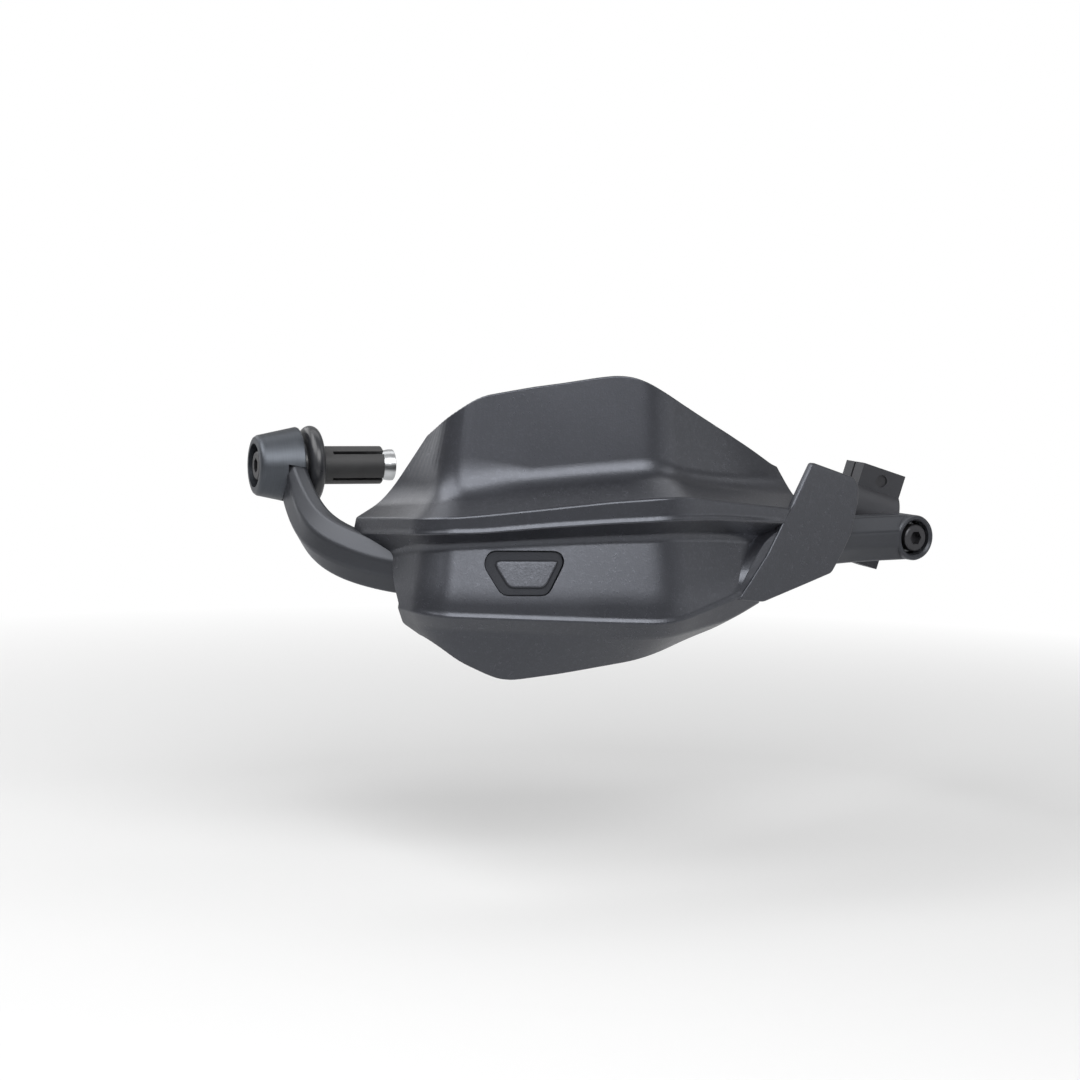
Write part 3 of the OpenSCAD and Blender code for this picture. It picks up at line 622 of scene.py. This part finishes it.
def brace_path(sizes):
    """Control points of the brace: position, thickness, height, and its front chamfers' height and depth."""
    wall = Moulding(sizes)
    t, h = sizes.brace_thickness / MM, sizes.brace_height / MM
    eye = sizes.eye_thickness / MM
    eye_mid = EYE_FACE - eye / 2
    lean = sizes.reach / MM / NOMINAL_REACH
    aim, back, run = clamp_frame(sizes)
    end = back + aim * sizes.end_thickness / MM / 2
    points = [
        (eye_mid, 0, 0, eye - 0.4, h, 2, 2),
        (eye_mid - 1, -20 * lean, -16, eye + 1.6, h, 5, 4),
        (-12, -40 * lean, -28, eye + 3, h, 7, 5),
        (-4, -56 * lean, -34, t, h + 1, *CHAMFER),
        (8, -68 * lean, -38, t, h, *CHAMFER),
        (20, -79 * lean, -39.6, t, h, *CHAMFER),
    ]
    for s in BRACE_STATIONS:
        points.append((*wall.spot(s, brace_depth(sizes, s), lookup(BOSSES, s)), t, h, *CHAMFER))
    for k in (72, 38, 0):
        p = end - run * k - np.array([0, 12 if k == 72 else 0, 0])
        points.append((*p, sizes.end_thickness / MM - 0.6, h, *CHAMFER))
    return np.array(points, float)


def build_brace(sizes):
    """A spline's body with an eye, an end and pads united with it, and the bores cut out."""
    wall = Moulding(sizes)
    c = brace_path(sizes)
    c = np.concatenate([[2 * c[0] - c[1]], c, [2 * c[-1] - c[-2]]])
    spans, steps = len(c) - 3, 14
    t = np.arange(spans * steps + 1) / steps
    i = np.minimum(t.astype(int), spans - 1)
    f = (t - i)[:, None]
    at = ((1 - f) ** 3 * c[i] + (3 * f ** 3 - 6 * f ** 2 + 4) * c[i + 1]
          + (-3 * f ** 3 + 3 * f ** 2 + 3 * f + 1) * c[i + 2] + f ** 3 * c[i + 3]) / 6
    along = unit(np.gradient(at[:, :3], axis=0))
    side = unit(np.cross(along, UP))
    up = unit(np.cross(side, along))
    a, b, ch, cd = at[:, 3] / 2, at[:, 4] / 2, at[:, 5], at[:, 6]
    k = BACK_CHAMFER
    corners = [(a, b - ch), (a - cd, b), (k - a, b), (-a, b - k), (-a, k - b), (k - a, -b), (a - cd, -b), (a, ch - b)]
    rail = [at[:, :3] + side * x[:, None] + up * y[:, None] for x, y in corners]
    body = Form().add(*loft(np.stack(rounded(rail, SECTION_CUT, 5), 1), "polygon")).make("cast_brace")

    r, eye, e = sizes.eye_width / MM / 2, sizes.eye_thickness / MM, 0.8
    eye_place = place_along([EYE_FACE - eye, 0, 0], [1, 0, 0])
    profile = [(0, 0), (r - e, 0), (r - e * 0.3, e * 0.3), (r, e), (r, eye - e), (r - e * 0.3, eye - e * 0.3),
               (r - e, eye), (0, eye)]
    combine(body, Form().add(*lathe(profile), eye_place).make("eye"), "UNION")
    aim, back, _ = clamp_frame(sizes)
    end_place = place_along(back, aim)
    r, thick, e = sizes.brace_height / MM / 2, sizes.end_thickness / MM, 1.3
    profile = [(0, 0), (r - 0.8, 0), (r, 0.8), (r, thick - e), (r - e * 0.3, thick - e * 0.3), (r - e, thick),
               (0, thick)]
    combine(body, Form().add(*lathe(profile), end_place).make("end"), "UNION")
    pad = sizes.boss_width / MM / 2 + 0.5
    profile = [(0, -6), (pad, -6), (pad, -0.5), (pad - 0.5, 0), (0, 0)]
    for s, z in BOSSES:
        place = wall.facing(s, boss_face(sizes, s), z)
        combine(body, Form().add(*lathe(profile, 64), place).make("pad"), "UNION")

    # Bores and seats for the two bolts, and for the shield's screws and washers
    cuts = Form()
    cuts.add(*lathe([(0, -1), (BOLT_FLARE, -1), (BOLT_BORE, 0.4), (BOLT_BORE, eye - 0.4), (BOLT_FLARE, eye + 1),
                     (0, eye + 1)], 64), eye_place)
    seat = thick - SEAT_DEPTH
    cuts.add(*lathe([(0, -1), (BOLT_FLARE, -1), (BOLT_BORE, 0.4), (BOLT_BORE, seat), (BOLT_SEAT, seat),
                     (BOLT_SEAT, thick - 0.9), (SEAT_FLARE, thick + 0.2), (SEAT_FLARE, thick + 4),
                     (0, thick + 4)], 72), end_place)
    half = sizes.brace_thickness / MM / 2
    for s, z in BOSSES:
        face = boss_face(sizes, s)
        deep = brace_depth(sizes, s) + half - 1.2 - face
        profile = [(0, 2), (SCREW_BORE, 2), (SCREW_BORE, -deep), (WASHER_SEAT, -deep), (WASHER_SEAT, -deep - 8),
                   (0, -deep - 8)]
        cuts.add(*lathe(profile, 64), wall.facing(s, face, z))
    combine(body, cuts.make("bores"), "DIFFERENCE")
    smooth(body, 34)
    return body


class Value:
    """A shader socket with arithmetic: each operator adds one Math node."""

    def __init__(self, nodes, socket):
        self.nodes, self.socket = nodes, socket

    def maths(self, operation, *values):
        return self.nodes.node("ShaderNodeMath", {"operation": operation}, values)

    def __add__(self, other):
        return self.maths("ADD", self, other)

    def __sub__(self, other):
        return self.maths("SUBTRACT", self, other)

    def __rsub__(self, other):
        return self.maths("SUBTRACT", other, self)

    def __mul__(self, other):
        return self.maths("MULTIPLY", self, other)

    def __truediv__(self, other):
        return self.maths("DIVIDE", self, other)

    def __rtruediv__(self, other):
        return self.maths("DIVIDE", other, self)

    __radd__, __rmul__ = __add__, __mul__

    def most(self, other):
        return self.maths("MAXIMUM", self, other)

    def between(self, low, high):
        """0 below low, 1 above high, and even in between."""
        return self.maths("MINIMUM", ((self - low) / (high - low)).most(0.0), 1.0)


class Nodes:
    """A node tree, and the ways to add to it."""

    def __init__(self, tree):
        self.tree = tree

    def put(self, socket, value):
        if isinstance(value, Value):
            self.tree.links.new(value.socket, socket)
        elif isinstance(value, (tuple, list)) and len(value) == 3 and socket.type == "RGBA":
            socket.default_value = (*value, 1.0)
        else:
            socket.default_value = value

    def node(self, kind, settings=None, values=(), output=0):
        """Adds a node, sets it up, and returns one of its outputs."""
        node = self.tree.nodes.new(kind)
        for key, setting in (settings or {}).items():
            setattr(node, key, setting)
        pairs = values.items() if isinstance(values, dict) else enumerate(values)
        for key, value in pairs:
            self.put(node.inputs[key], value)
        return Value(self, node.outputs[output])

    def seen(self, mirrored):
        """1 where the camera looks, straight or through a clear part, and a level for reflections."""
        rays = self.node("ShaderNodeLightPath").socket.node.outputs
        camera, glossy, through = (
            Value(self, rays[name]) for name in ("Is Camera Ray", "Is Glossy Ray", "Is Transmission Ray"))
        return camera.most(through).most(glossy * mirrored)


class Finish(Nodes):
    """One material: a Principled shader and the nodes that feed it."""

    def __init__(self, name, **constants):
        old = bpy.data.materials.get(name)
        if old:
            bpy.data.materials.remove(old)
        self.material = bpy.data.materials.new(name)
        self.material.use_nodes = True
        super().__init__(self.material.node_tree)
        self.shader = self.tree.nodes["Principled BSDF"]
        self.feed(**constants)

    def feed(self, **values):
        for key, value in values.items():
            self.put(self.shader.inputs[key.replace("_", " ")], value)

    def where(self):
        return self.node("ShaderNodeTexCoord", output="Object")

    def noise(self, size_mm, detail=2.0, rough=0.5, where=None):
        """Noise with features of about a size."""
        return self.node("ShaderNodeTexNoise", None,
                         {"Vector": where or self.where(), "Scale": 1.0 / (size_mm * MM), "Detail": detail,
                          "Roughness": rough}, "Fac")

    def mix(self, factor, a, b):
        return self.node("ShaderNodeMix", {"data_type": "RGBA"}, {0: factor, 6: a, 7: b}, 2)

    def bump(self, height, depth_mm, strength):
        self.feed(Normal=self.node("ShaderNodeBump", None, {
            "Height": height, "Distance": depth_mm * MM, "Strength": strength}, "Normal"))


def tinted(colour, factor):
    """A colour made lighter or darker."""
    return tuple(min(1.0, c * factor) for c in colour)


def moulded_plastic(name, colour, grain_mm, grain_deep, rough, channel=False):
    """Dark plastic with an eroded grain whose tips carry a painted highlight, lighter in colour as if they caught the
    light, and painted shade, near black, in a smooth channel if it has one.
    """
    f = Finish(name, Specular_IOR_Level=0.85, Specular_Tint=(0.85, 0.89, 1.0))
    fine = f.noise(grain_mm, 3.0, 0.65)
    coarse = f.noise(grain_mm * 2.6, 1.0)
    cloud = f.noise(38, 3.0)
    height = fine * 0.65 + coarse * 0.35
    # Painted highlight: the grain's tips are mixed towards a lighter colour, as if they caught the light; the cloud
    # only adds a random tone
    tips = height.between(0.50, 0.66)
    light, dark = tinted(colour, 4.0 if channel else 2.3), tinted(colour, 0.78)
    tone = f.mix(tips * 0.62 + cloud.between(0.35, 0.7) * 0.12, dark, light)
    sheen = rough + (cloud - 0.5) * 0.1 - tips * 0.06
    if channel:
        # Painted shade: points in the channel get a near-black colour, standing in for the shade that falls in the
        # sunk channel
        sunk = f.node("ShaderNodeAttribute", {"attribute_name": "channel"}, output="Fac")
        tone = f.mix(sunk, tone, (0.005, 0.005, 0.006))
        sheen = sheen * (1.0 - sunk) + sunk * 0.8
    f.feed(Base_Color=tone, Roughness=sheen)
    f.bump(height, grain_deep, 0.7)
    return f.material


def cast_metal(name, colour, rough, metallic, texture_mm=0.9, deep=0.03):
    """Satin coating over a casting."""
    f = Finish(name, Metallic=metallic, Specular_IOR_Level=0.6, Specular_Tint=(0.9, 0.93, 1.0))
    skin, cloud = f.noise(texture_mm, 3.0, 0.6), f.noise(30, 3.0)
    worn = cloud.between(0.3, 0.75) * 0.4 + skin.between(0.5, 0.75) * 0.3
    f.feed(Base_Color=f.mix(worn, colour, tinted(colour, 1.35)),
           Roughness=rough + (cloud - 0.5) * 0.12 + (skin - 0.5) * 0.08)
    f.bump(skin, deep, 0.6)
    return f.material


def turned_metal(name, colour, rough):
    """Metal turned about the bar's axis, with fine tool lines along X."""
    f = Finish(name, Metallic=0.9, Specular_IOR_Level=0.5)
    stretched = f.node("ShaderNodeVectorMath", {"operation": "MULTIPLY"}, [f.where(), (1.0, 0.02, 0.02)])
    lines, cloud = f.noise(0.25, where=stretched), f.noise(16, 3.0)
    f.feed(Base_Color=f.mix(lines.between(0.35, 0.7) * 0.35, colour, tinted(colour, 1.5)),
           Roughness=rough + (lines - 0.5) * 0.1 + (cloud - 0.5) * 0.1)
    f.bump(lines, 0.004, 0.5)
    return f.material


def plain_metal(name, colour, rough, metallic=1.0):
    """Small steel and brass parts, with faint handling marks."""
    f = Finish(name, Metallic=metallic)
    marks, cloud = f.noise(0.6, 4.0, 0.6), f.noise(5)
    f.feed(Base_Color=f.mix(cloud.between(0.3, 0.7) * 0.5, colour, tinted(colour, 1.3)),
           Roughness=rough + (marks - 0.5) * 0.14 + (cloud - 0.5) * 0.08)
    f.bump(marks, 0.01, 0.4)
    return f.material


def rubber(name, colour, rough):
    """Dark rubber with a faint skin."""
    f = Finish(name, Specular_IOR_Level=0.5)
    skin, cloud = f.noise(0.8, 3.0, 0.6), f.noise(12)
    f.feed(Base_Color=f.mix(cloud.between(0.35, 0.7), colour, tinted(colour, 1.4)),
           Roughness=rough + (cloud - 0.5) * 0.1 + (skin - 0.5) * 0.08)
    f.bump(skin, 0.012, 0.5)
    return f.material


# What each material slot is made of
FINISHES = {
    "shield_plastic": lambda c: moulded_plastic(
        "grained plastic", tuple(c.plastic), grain_mm=0.85, grain_deep=0.075, rough=0.33),
    "inlay_plastic": lambda c: moulded_plastic(
        "coarse plastic", tuple(c.plastic), grain_mm=1.2, grain_deep=0.2, rough=0.38, channel=True),
    "cast_aluminium": lambda c: cast_metal("satin casting", tuple(c.brace), 0.36, 0.35),
    "anodised_weight": lambda c: turned_metal("anodised metal", tuple(c.weight), 0.42),
    "ring_rubber": lambda c: rubber("glossy ring", (0.022, 0.023, 0.026), 0.3),
    "black_steel": lambda c: plain_metal("blackened steel", (0.05, 0.05, 0.054), 0.38, 0.8),
    "zinc_steel": lambda c: plain_metal("zinc plate", (0.5, 0.51, 0.52), 0.32),
    "insert_brass": lambda c: plain_metal("brass", (0.62, 0.44, 0.2), 0.3),
    "sleeve_rubber": lambda c: rubber("sleeve rubber", (0.02, 0.02, 0.021), 0.55),
    "clamp_metal": lambda c: cast_metal("black coating", (0.028, 0.028, 0.031), 0.42, 0.2, 0.7, 0.02),
}


def finish_of(slot):
    """The material of a slot, made on first use."""
    key = "finish " + slot
    for material in bpy.data.materials:
        if material.get("guard_slot") == key:
            return material
    material = FINISHES[slot](bpy.context.scene.guard_colours)
    material["guard_slot"] = key
    return material


def distance(name, description, default, low, high):
    """A length that a user may change."""
    return FloatProperty(name=name, description=description, default=default, min=low, max=high,
                         unit="LENGTH", subtype="DISTANCE")


class GuardSizes(PropertyGroup):
    length: distance("Shield Length", "From the outer tip to the inner edge, along the bar", 0.237, 0.228, 0.246)
    reach: distance("Reach", "From the bar's axis to the foremost line of the shield", 0.134, 0.13, 0.14)
    wing_height: distance("Wing Height", "Height of the wing's crest above the bar's axis", 0.047, 0.038, 0.056)
    skirt_depth: distance("Skirt Depth", "Depth of the skirt's lowest point below the bar's axis", 0.086, 0.078, 0.094)
    ledge: distance("Ledge", "Depth of the ledge between the ridge and the wing", 0.015, 0.012, 0.018)
    lean: distance("Wing Lean", "How far the wing leans back above the ledge", 0.0045, 0.002, 0.01)
    hollow: distance("Hollow", "Depth of the hollow under the ledge", 0.006, 0.004, 0.008)
    wall: distance("Wall", "Wall thickness of the moulding", 0.003, 0.0024, 0.0034)
    rim_round: distance("Rim Rounding", "Radius along the moulding's rims", 0.0007, 0.0003, 0.0012)
    panel_proud: distance("Panel Step", "How far the inner panel stands in front of the ridge", 0.00015, 0, 0.002)
    columns: IntProperty(
        name="Columns", description="Number of sections along the shield",
        default=210, min=60, max=400)
    boss_width: distance("Boss Width", "Diameter of the bosses behind the shield", 0.012, 0.0105, 0.015)
    insert_width: distance("Insert Width", "Diameter of the threaded inserts", 0.0072, 0.0056, 0.0086)
    inlay_width: distance("Inlay Width", "Greatest width of the inlay", 0.034, 0.028, 0.038)
    inlay_height: distance("Inlay Height", "Height of the inlay", 0.019, 0.015, 0.022)
    inlay_sink: distance("Channel Depth", "Depth of the channel round the inlay's pad", 0.001, 0.0006, 0.0014)
    inlay_channel: distance("Channel Width", "Width of the channel round the inlay's pad", 0.004, 0.0025, 0.005)
    brace_back: distance("Brace Setback", "From the shield's ridge back to the brace's middle", 0.02, 0.019, 0.023)
    brace_thickness: distance("Brace Thickness", "Thickness of the brace behind the shield", 0.012, 0.01, 0.014)
    brace_height: distance("Brace Height", "Height of the brace's section", 0.022, 0.019, 0.0225)
    eye_thickness: distance("Eye Thickness", "Thickness of the brace's outer eye", 0.009, 0.008, 0.01)
    eye_width: distance("Eye Width", "Diameter of the brace's outer eye", 0.024, 0.0235, 0.025)
    end_thickness: distance("End Thickness", "Thickness of the brace's inner end", 0.015, 0.0135, 0.017)
    pad_height: distance("Pad Height", "Height of the pads under the shield's bosses", 0.001, 0.0005, 0.0015)
    clamp_distance: distance("Clamp Distance", "From the tube's end to the middle of the clamp", 0.281, 0.276, 0.29)
    clamp_reach: distance("Clamp Reach", "From the bar's axis to the back of the brace's end", 0.0275, 0.0265, 0.031)
    edge_round: distance("Edge Rounding", "Rounding of the small metal parts' edges", 0.00025, 0.0001, 0.0006)


class GuardColours(PropertyGroup):
    plastic: FloatVectorProperty(
        name="Plastic", description="Colour of the shield", subtype="COLOR", size=3,
        default=(0.0118, 0.0121, 0.0148), min=0, max=1)
    brace: FloatVectorProperty(
        name="Brace", description="Colour of the brace's coating", subtype="COLOR", size=3,
        default=(0.028, 0.0295, 0.034), min=0, max=1)
    weight: FloatVectorProperty(
        name="Weight", description="Colour of the bar-end weight", subtype="COLOR", size=3,
        default=(0.066, 0.072, 0.082), min=0, max=1)
    floor: FloatVectorProperty(
        name="Floor", description="Colour of the floor", subtype="COLOR", size=3,
        default=(0.64, 0.64, 0.64), min=0, max=1)


class GuardStage(PropertyGroup):
    key_power: FloatProperty(
        name="Key Light", description="Power of the main soft light",
        default=14.5, min=0, unit="POWER")
    side_power: FloatProperty(
        name="Side Light", description="Power of the soft light beside the bar's end",
        default=12.0, min=0, unit="POWER")
    rim_power: FloatProperty(
        name="Rim Light", description="Power of the soft light behind the object",
        default=2.6, min=0, unit="POWER")
    fill_power: FloatProperty(
        name="Fill Light", description="Power of the soft light on the other side",
        default=1.3, min=0, unit="POWER")
    end_power: FloatProperty(
        name="End Light", description="Power of the low light behind the bar's end",
        default=1.0, min=0, unit="POWER")
    inner_power: FloatProperty(
        name="Inner Light", description="Power of the small light over the clamp's side",
        default=1.2, min=0, unit="POWER")
    top_power: FloatProperty(
        name="Top Light", description="Power of the light above",
        default=5.5, min=0, unit="POWER")
    world_level: FloatProperty(
        name="Room Light", description="Level of the even light all round",
        default=0.1, min=0, max=1, subtype="FACTOR")
    mirror_level: FloatProperty(
        name="Reflected Room", description="Level of the room as glossy surfaces see it",
        default=0.3, min=0, max=1, subtype="FACTOR")
    floor_drop: FloatProperty(
        name="Floor Distance", description="From the object's lowest point down to the floor",
        default=0.09, min=0, unit="LENGTH", subtype="DISTANCE")


class GUARD_OT_shield(Operator):
    """Builds the moulded shield with its rims, window, panel and bosses"""
    bl_idname = "guard.shield"
    bl_label = "Build Shield"

    def execute(self, context):
        piece = build_shield(context.scene.guard_sizes)
        dress(piece, finish_of("shield_plastic"), "shield_plastic", "shield")
        return {"FINISHED"}


class GUARD_OT_inlay(Operator):
    """Builds the inlay's pad, channel and flange"""
    bl_idname = "guard.inlay"
    bl_label = "Build Inlay"

    def execute(self, context):
        piece = build_inlay(context.scene.guard_sizes)
        dress(piece, finish_of("inlay_plastic"), "inlay_plastic", "inlay_cap")
        return {"FINISHED"}


class GUARD_OT_brace(Operator):
    """Builds the cast brace with its rounded section, eye, end and bores"""
    bl_idname = "guard.brace"
    bl_label = "Build Brace"

    def execute(self, context):
        piece = build_brace(context.scene.guard_sizes)
        dress(piece, finish_of("cast_aluminium"), "cast_aluminium", "brace")
        return {"FINISHED"}


class GUARD_OT_metalwork(Operator):
    """Gives every other part its finish and rounds its edges"""
    bl_idname = "guard.metalwork"
    bl_label = "Finish Small Parts"

    def execute(self, context):
        slots = {p["node"]: p["material_slot"] for p in frame["record"]["subparts"]}
        for node, obj in frame["nodes"].items():
            material = finish_of(slots[node])
            for slot in obj.material_slots:
                slot.material = material
            if node in REMADE:
                continue
            weld = obj.modifiers.new("weld", "WELD")
            weld.merge_threshold = 1e-6
            bevel = obj.modifiers.new("edges", "BEVEL")
            bevel.width, bevel.segments = context.scene.guard_sizes.edge_round, 3
            bevel.limit_method, bevel.angle_limit = "ANGLE", math.radians(40)
            normals = obj.modifiers.new("weighted normals", "WEIGHTED_NORMAL")
            normals.keep_sharp = False
        return {"FINISHED"}


def area_light(name, power, size, spot, target):
    """A soft rectangular light aimed at a point."""
    data = bpy.data.lights.new(name, "AREA")
    data.shape, data.size, data.size_y = "RECTANGLE", size[0], size[1]
    data.energy = power
    lamp = new_object(name, data)
    lamp.location = spot
    lamp.visible_camera = False
    lamp.rotation_euler = (target - Vector(spot)).to_track_quat("-Z", "Y").to_euler()


class GUARD_OT_stage(Operator):
    """Sets up the floor, the soft light, the white surroundings and the camera"""
    bl_idname = "guard.stage"
    bl_label = "Build Stage"

    def execute(self, context):
        scene = context.scene
        stage, colour = scene.guard_stage, tuple(scene.guard_colours.floor)
        low, high = (Vector(c) for c in cad_box)
        middle = (low + high) / 2
        level = low.z - stage.floor_drop

        # Floor that rises into a backdrop
        depth, width = 3.0, 5.0
        sweep = [(-depth, 0.0)] + [(1.2 + 0.9 * math.sin(a), 0.9 - 0.9 * math.cos(a))
                                   for a in np.linspace(0, math.pi / 2, 14)] + [(2.1, 3.2)]
        points = [(x, y, level + z) for y, z in sweep for x in (-width, width)]
        faces = [(2 * i, 2 * i + 1, 2 * i + 3, 2 * i + 2) for i in range(len(sweep) - 1)]
        mesh = bpy.data.meshes.new("studio_floor")
        mesh.from_pydata(points, [], faces)
        mesh.polygons.foreach_set("use_smooth", [True] * len(mesh.polygons))
        floor = new_object("studio_floor", mesh)
        f = Finish("floor", Roughness=0.9, Specular_IOR_Level=0.1)
        f.feed(Base_Color=f.mix(f.noise(400).between(0.2, 0.8) * 0.04, colour, tinted(colour, 0.97)))
        # Far from the object the sheet turns into the white surroundings, as the camera and mirrors see it
        apart = f.node("ShaderNodeVectorMath", {"operation": "SUBTRACT"}, [f.where(), (middle.x, middle.y, level)])
        away = f.node("ShaderNodeVectorMath", {"operation": "LENGTH"}, [apart], "Value")
        white = f.node("ShaderNodeEmission", None, {"Color": WHITE, "Strength": 1.0})
        mixed = f.node("ShaderNodeMixShader", None,
                       {0: f.seen(stage.mirror_level) * away.between(FADE_FROM, FADE_TO),
                        1: Value(f, f.shader.outputs[0]), 2: white})
        f.put(f.tree.nodes["Material Output"].inputs["Surface"], mixed)
        mesh.materials.append(f.material)

        # White surroundings for the camera and for reflections, an even level for the light
        scene.world = bpy.data.worlds.new("studio")
        scene.world.use_nodes = True
        room = Nodes(scene.world.node_tree)
        back = room.tree.nodes["Background"].inputs
        room.put(back["Color"], WHITE)
        room.put(back["Strength"], room.seen(stage.mirror_level).most(stage.world_level))
        for name, (size, spot) in LAMPS.items():
            area_light(name + "_light", getattr(stage, name + "_power"), size, spot, middle)

        data = bpy.data.cameras.new("camera")
        data.lens, data.sensor_width, data.clip_start, data.clip_end = 80.0, 36.0, 0.05, 50.0
        scene.camera = new_object("camera", data)
        scene.camera.matrix_world = Matrix.Translation(CAMERA_SPOT) @ Matrix(CAMERA_AXES).transposed().to_4x4()
        scene.view_settings.view_transform = "Standard"
        return {"FINISHED"}


OPERATORS = (GUARD_OT_shield, GUARD_OT_inlay, GUARD_OT_brace, GUARD_OT_metalwork, GUARD_OT_stage)


class GUARD_PT_tools(Panel):
    """Lists the pieces, the sizes and the colours"""
    bl_idname = "GUARD_PT_tools"
    bl_label = "Hand Guard"
    bl_space_type = "VIEW_3D"
    bl_region_type = "UI"
    bl_category = "Hand Guard"

    def draw(self, context):
        for operator in OPERATORS:
            self.layout.operator(operator.bl_idname)
        for group in (context.scene.guard_sizes, context.scene.guard_colours, context.scene.guard_stage):
            box = self.layout.box()
            for name in group.__annotations__:
                box.prop(group, name)


GROUPS = {"guard_sizes": GuardSizes, "guard_colours": GuardColours, "guard_stage": GuardStage}
CLASSES = (*GROUPS.values(), *OPERATORS, GUARD_PT_tools)


def register():
    for cls in CLASSES:
        bpy.utils.register_class(cls)
    for name, group in GROUPS.items():
        setattr(bpy.types.Scene, name, PointerProperty(type=group))


def unregister():
    for name in GROUPS:
        delattr(bpy.types.Scene, name)
    for cls in reversed(CLASSES):
        bpy.utils.unregister_class(cls)


def main():
    register()
    bpy.ops.guard.shield()
    bpy.ops.guard.inlay()
    bpy.ops.guard.brace()
    bpy.ops.guard.metalwork()
    bpy.ops.guard.stage()


if __name__ == "__main__":
    main()
